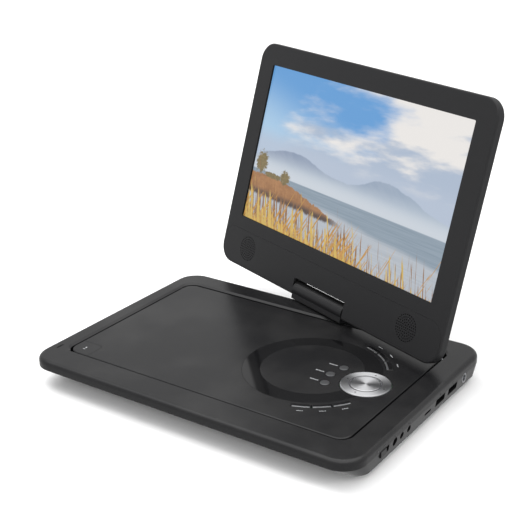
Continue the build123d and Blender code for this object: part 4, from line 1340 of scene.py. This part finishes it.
def dress_all() -> None:
    """Give every CAD node its finish."""
    pad = centre_of("pad_ring") * MM
    silver = Finish(
        "spun_silver",
        (0.88, 0.885, 0.9),
        0.4,
        1.0,
        grain=0.03,
        worn=(0.75, 0.75, 0.77),
        dust=0.03,
        spin=tuple(pad),
    )
    key_silver = Finish("key_metal", (0.3, 0.305, 0.315), 0.36, 1.0, grain=0.05, dust=0.03)
    plan = {
        CASE: "top_case bottom_case lid release_button",
        BEZEL: "front_bezel speaker_strip back_cover",
        HINGE: "hinge_block",
        GLOSS: "trim_ring switch_knob " + " ".join(f"arc_key_{n}" for n in range(1, 7)),
        DECK: "disc_deck lid_liner turntable",
        SOCKET: "dc_jack headphone_jack av_jack power_switch",
        RUBBER: "rubber_feet traverse_dampers",
        STEEL: "case_screws lid_pins traverse_tray guide_rods spindle_motor spindle_shaft "
        "feed_motor swivel_shaft tilt_pins screen_screws usb_port_front usb_port_rear "
        "antenna_jack",
        BRASS: "swivel_bush",
        BOARD: "key_board main_board driver_board",
        CHIP: "board_chips laser_sled speaker_left speaker_right",
        WRAP: "battery_pack",
        ACETAL: "sled_rack feed_gear motor_pinion",
        DIFFUSER: "backlight",
        LENS: "laser_lens",
        LAMP: "status_lamps",
        silver: "pad_ring pad_centre",
        key_silver: "round_key_1 round_key_2 round_key_3",
    }
    for finish, nodes in plan.items():
        for node in nodes.split():
            dress(node, finish)
    log.info("dressed %d nodes", sum(len(v.split()) for v in plan.values()))


# ---- studio --------------------------------------------------------------------------


@dataclass(frozen=True)
class Softbox:
    """One soft light.

    Args:
        name: Its name.
        at: Where it stands, in metres.
        aim: What it points at.
        size: Its width and height.
        power: Its power in watts.
    """

    name: str
    at: tuple[float, float, float]
    aim: tuple[float, float, float]
    size: Point
    power: float

    def build(self) -> None:
        """Add the light to the scene."""
        data = bpy.data.lights.new(self.name, "AREA")
        data.shape = "RECTANGLE"
        data.size, data.size_y = self.size
        data.energy = self.power
        made = bpy.data.objects.new(self.name, data)
        made.location = self.at
        way = Vector(self.aim) - Vector(self.at)
        made.rotation_euler = way.to_track_quat("-Z", "Y").to_euler()
        made.visible_glossy = False
        bpy.context.scene.collection.objects.link(made)


@dataclass
class Studio:
    """A pale floor that curves up behind, soft light, and the camera.

    Args:
        floor_z: The floor's height.
        at: Where the camera stands, in millimetres.
        forward: Where it looks.
        up: Its upward direction.
        focal: Its focal length as a share of the frame's width.
        shift: The lens shift across and up.
        sensor: The sensor's width.
        ambient: How bright the room is everywhere.
        overhead: How much brighter it is overhead.
        overhead_edge: The height of direction where the overhead light starts and is full.
    """

    floor_z: float = -0.00152
    at: tuple[float, float, float] = (401.13, -578.11, 368.27)
    forward: tuple[float, float, float] = (-0.53438, 0.77084, -0.34676)
    up: tuple[float, float, float] = (-0.18804, 0.29155, 0.93789)
    focal: float = 1116.83 / 530.0
    shift: Point = (8.45 / 530.0, -32.62 / 530.0)
    sensor: float = 36.0
    ambient: float = 0.62
    overhead: float = 1.05
    overhead_edge: Point = (0.62, 0.86)

    def build(self) -> None:
        """Build the floor, the lights and the camera."""
        self.floor()
        self.world()
        for light in (
            Softbox("key_light", (-0.9, 0.2, 1.3), (0.0, 0.0, 0.05), (1.2, 1.2), 20.0),
            Softbox("right_light", (1.3, 0.1, 0.55), (0.1, 0.0, 0.05), (0.7, 0.9), 10.0),
            Softbox("front_light", (0.1, -1.5, 0.9), (0.0, 0.0, 0.1), (1.4, 0.8), 10.0),
        ):
            light.build()
        self.camera()

    def floor(self) -> None:
        """Build the floor and its curved back as one sheet."""
        profile = [(-4.0, 0.0), (2.2, 0.0)]
        for n in range(1, 13):
            a = math.radians(7.5 * n)
            profile.append((2.2 + 1.4 * math.sin(a), 1.4 * (1 - math.cos(a))))
        profile.append((3.6, 5.0))
        turn = Matrix.Rotation(math.radians(34.7), 3, "Z")
        points = []
        for along, height in profile:
            for side in (-5.0, 5.0):
                point = turn @ Vector((side, along, 0.0))
                points.append((point.x, point.y, self.floor_z + height))
        faces = [(2 * n, 2 * n + 1, 2 * n + 3, 2 * n + 2) for n in range(len(profile) - 1)]
        mesh = bpy.data.meshes.new("studio_floor")
        mesh.from_pydata(points, [], faces)
        mesh.update()
        made = bpy.data.objects.new("studio_floor", mesh)
        bpy.context.scene.collection.objects.link(made)
        paper = Finish(
            "studio_paper", (0.9, 0.9, 0.9), 0.8, level=0.1, grain=0.02, wear=0.0, dust=0.0
        )
        mesh.materials.append(paper.material())
        made.visible_glossy = False

    def world(self) -> None:
        """Light the room evenly, with more light overhead."""
        world = bpy.data.worlds.new("studio_room")
        world.use_nodes = True
        graph = Graph(world.node_tree)
        height = graph.split(graph.generated())[2]
        glow = graph.step(height, *self.overhead_edge) * self.overhead + self.ambient
        sky = world.node_tree.nodes["Background"]
        sky.inputs["Color"].default_value = (1.0, 1.0, 1.0, 1.0)
        graph.plug(sky.inputs["Strength"], glow)
        bpy.context.scene.world = world
        bpy.context.scene.view_settings.view_transform = "Standard"

    def camera(self) -> None:
        """Add the camera."""
        data = bpy.data.cameras.new("camera")
        data.sensor_width = self.sensor
        data.lens = self.focal * self.sensor
        data.shift_x, data.shift_y = self.shift
        data.clip_start = 0.01
        data.clip_end = 50.0
        made = bpy.data.objects.new("camera", data)
        back = -Vector(self.forward).normalized()
        right = Vector(self.up).cross(back).normalized()
        above = back.cross(right)
        axes = Matrix((right, above, back)).transposed()
        made.matrix_world = Matrix.Translation(Vector(self.at) * MM) @ axes.to_4x4()
        bpy.context.scene.collection.objects.link(made)
        bpy.context.scene.camera = made


def main() -> None:
    """Dress the player, light it and place the camera."""
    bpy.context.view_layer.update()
    dress_all()
    for part in (LidTrim(), SideMarks(), ScreenTrim(), Underside(), Studio()):
        log.info("building %s", type(part).__name__)
        part.build()


if __name__ == "__main__":
    main()
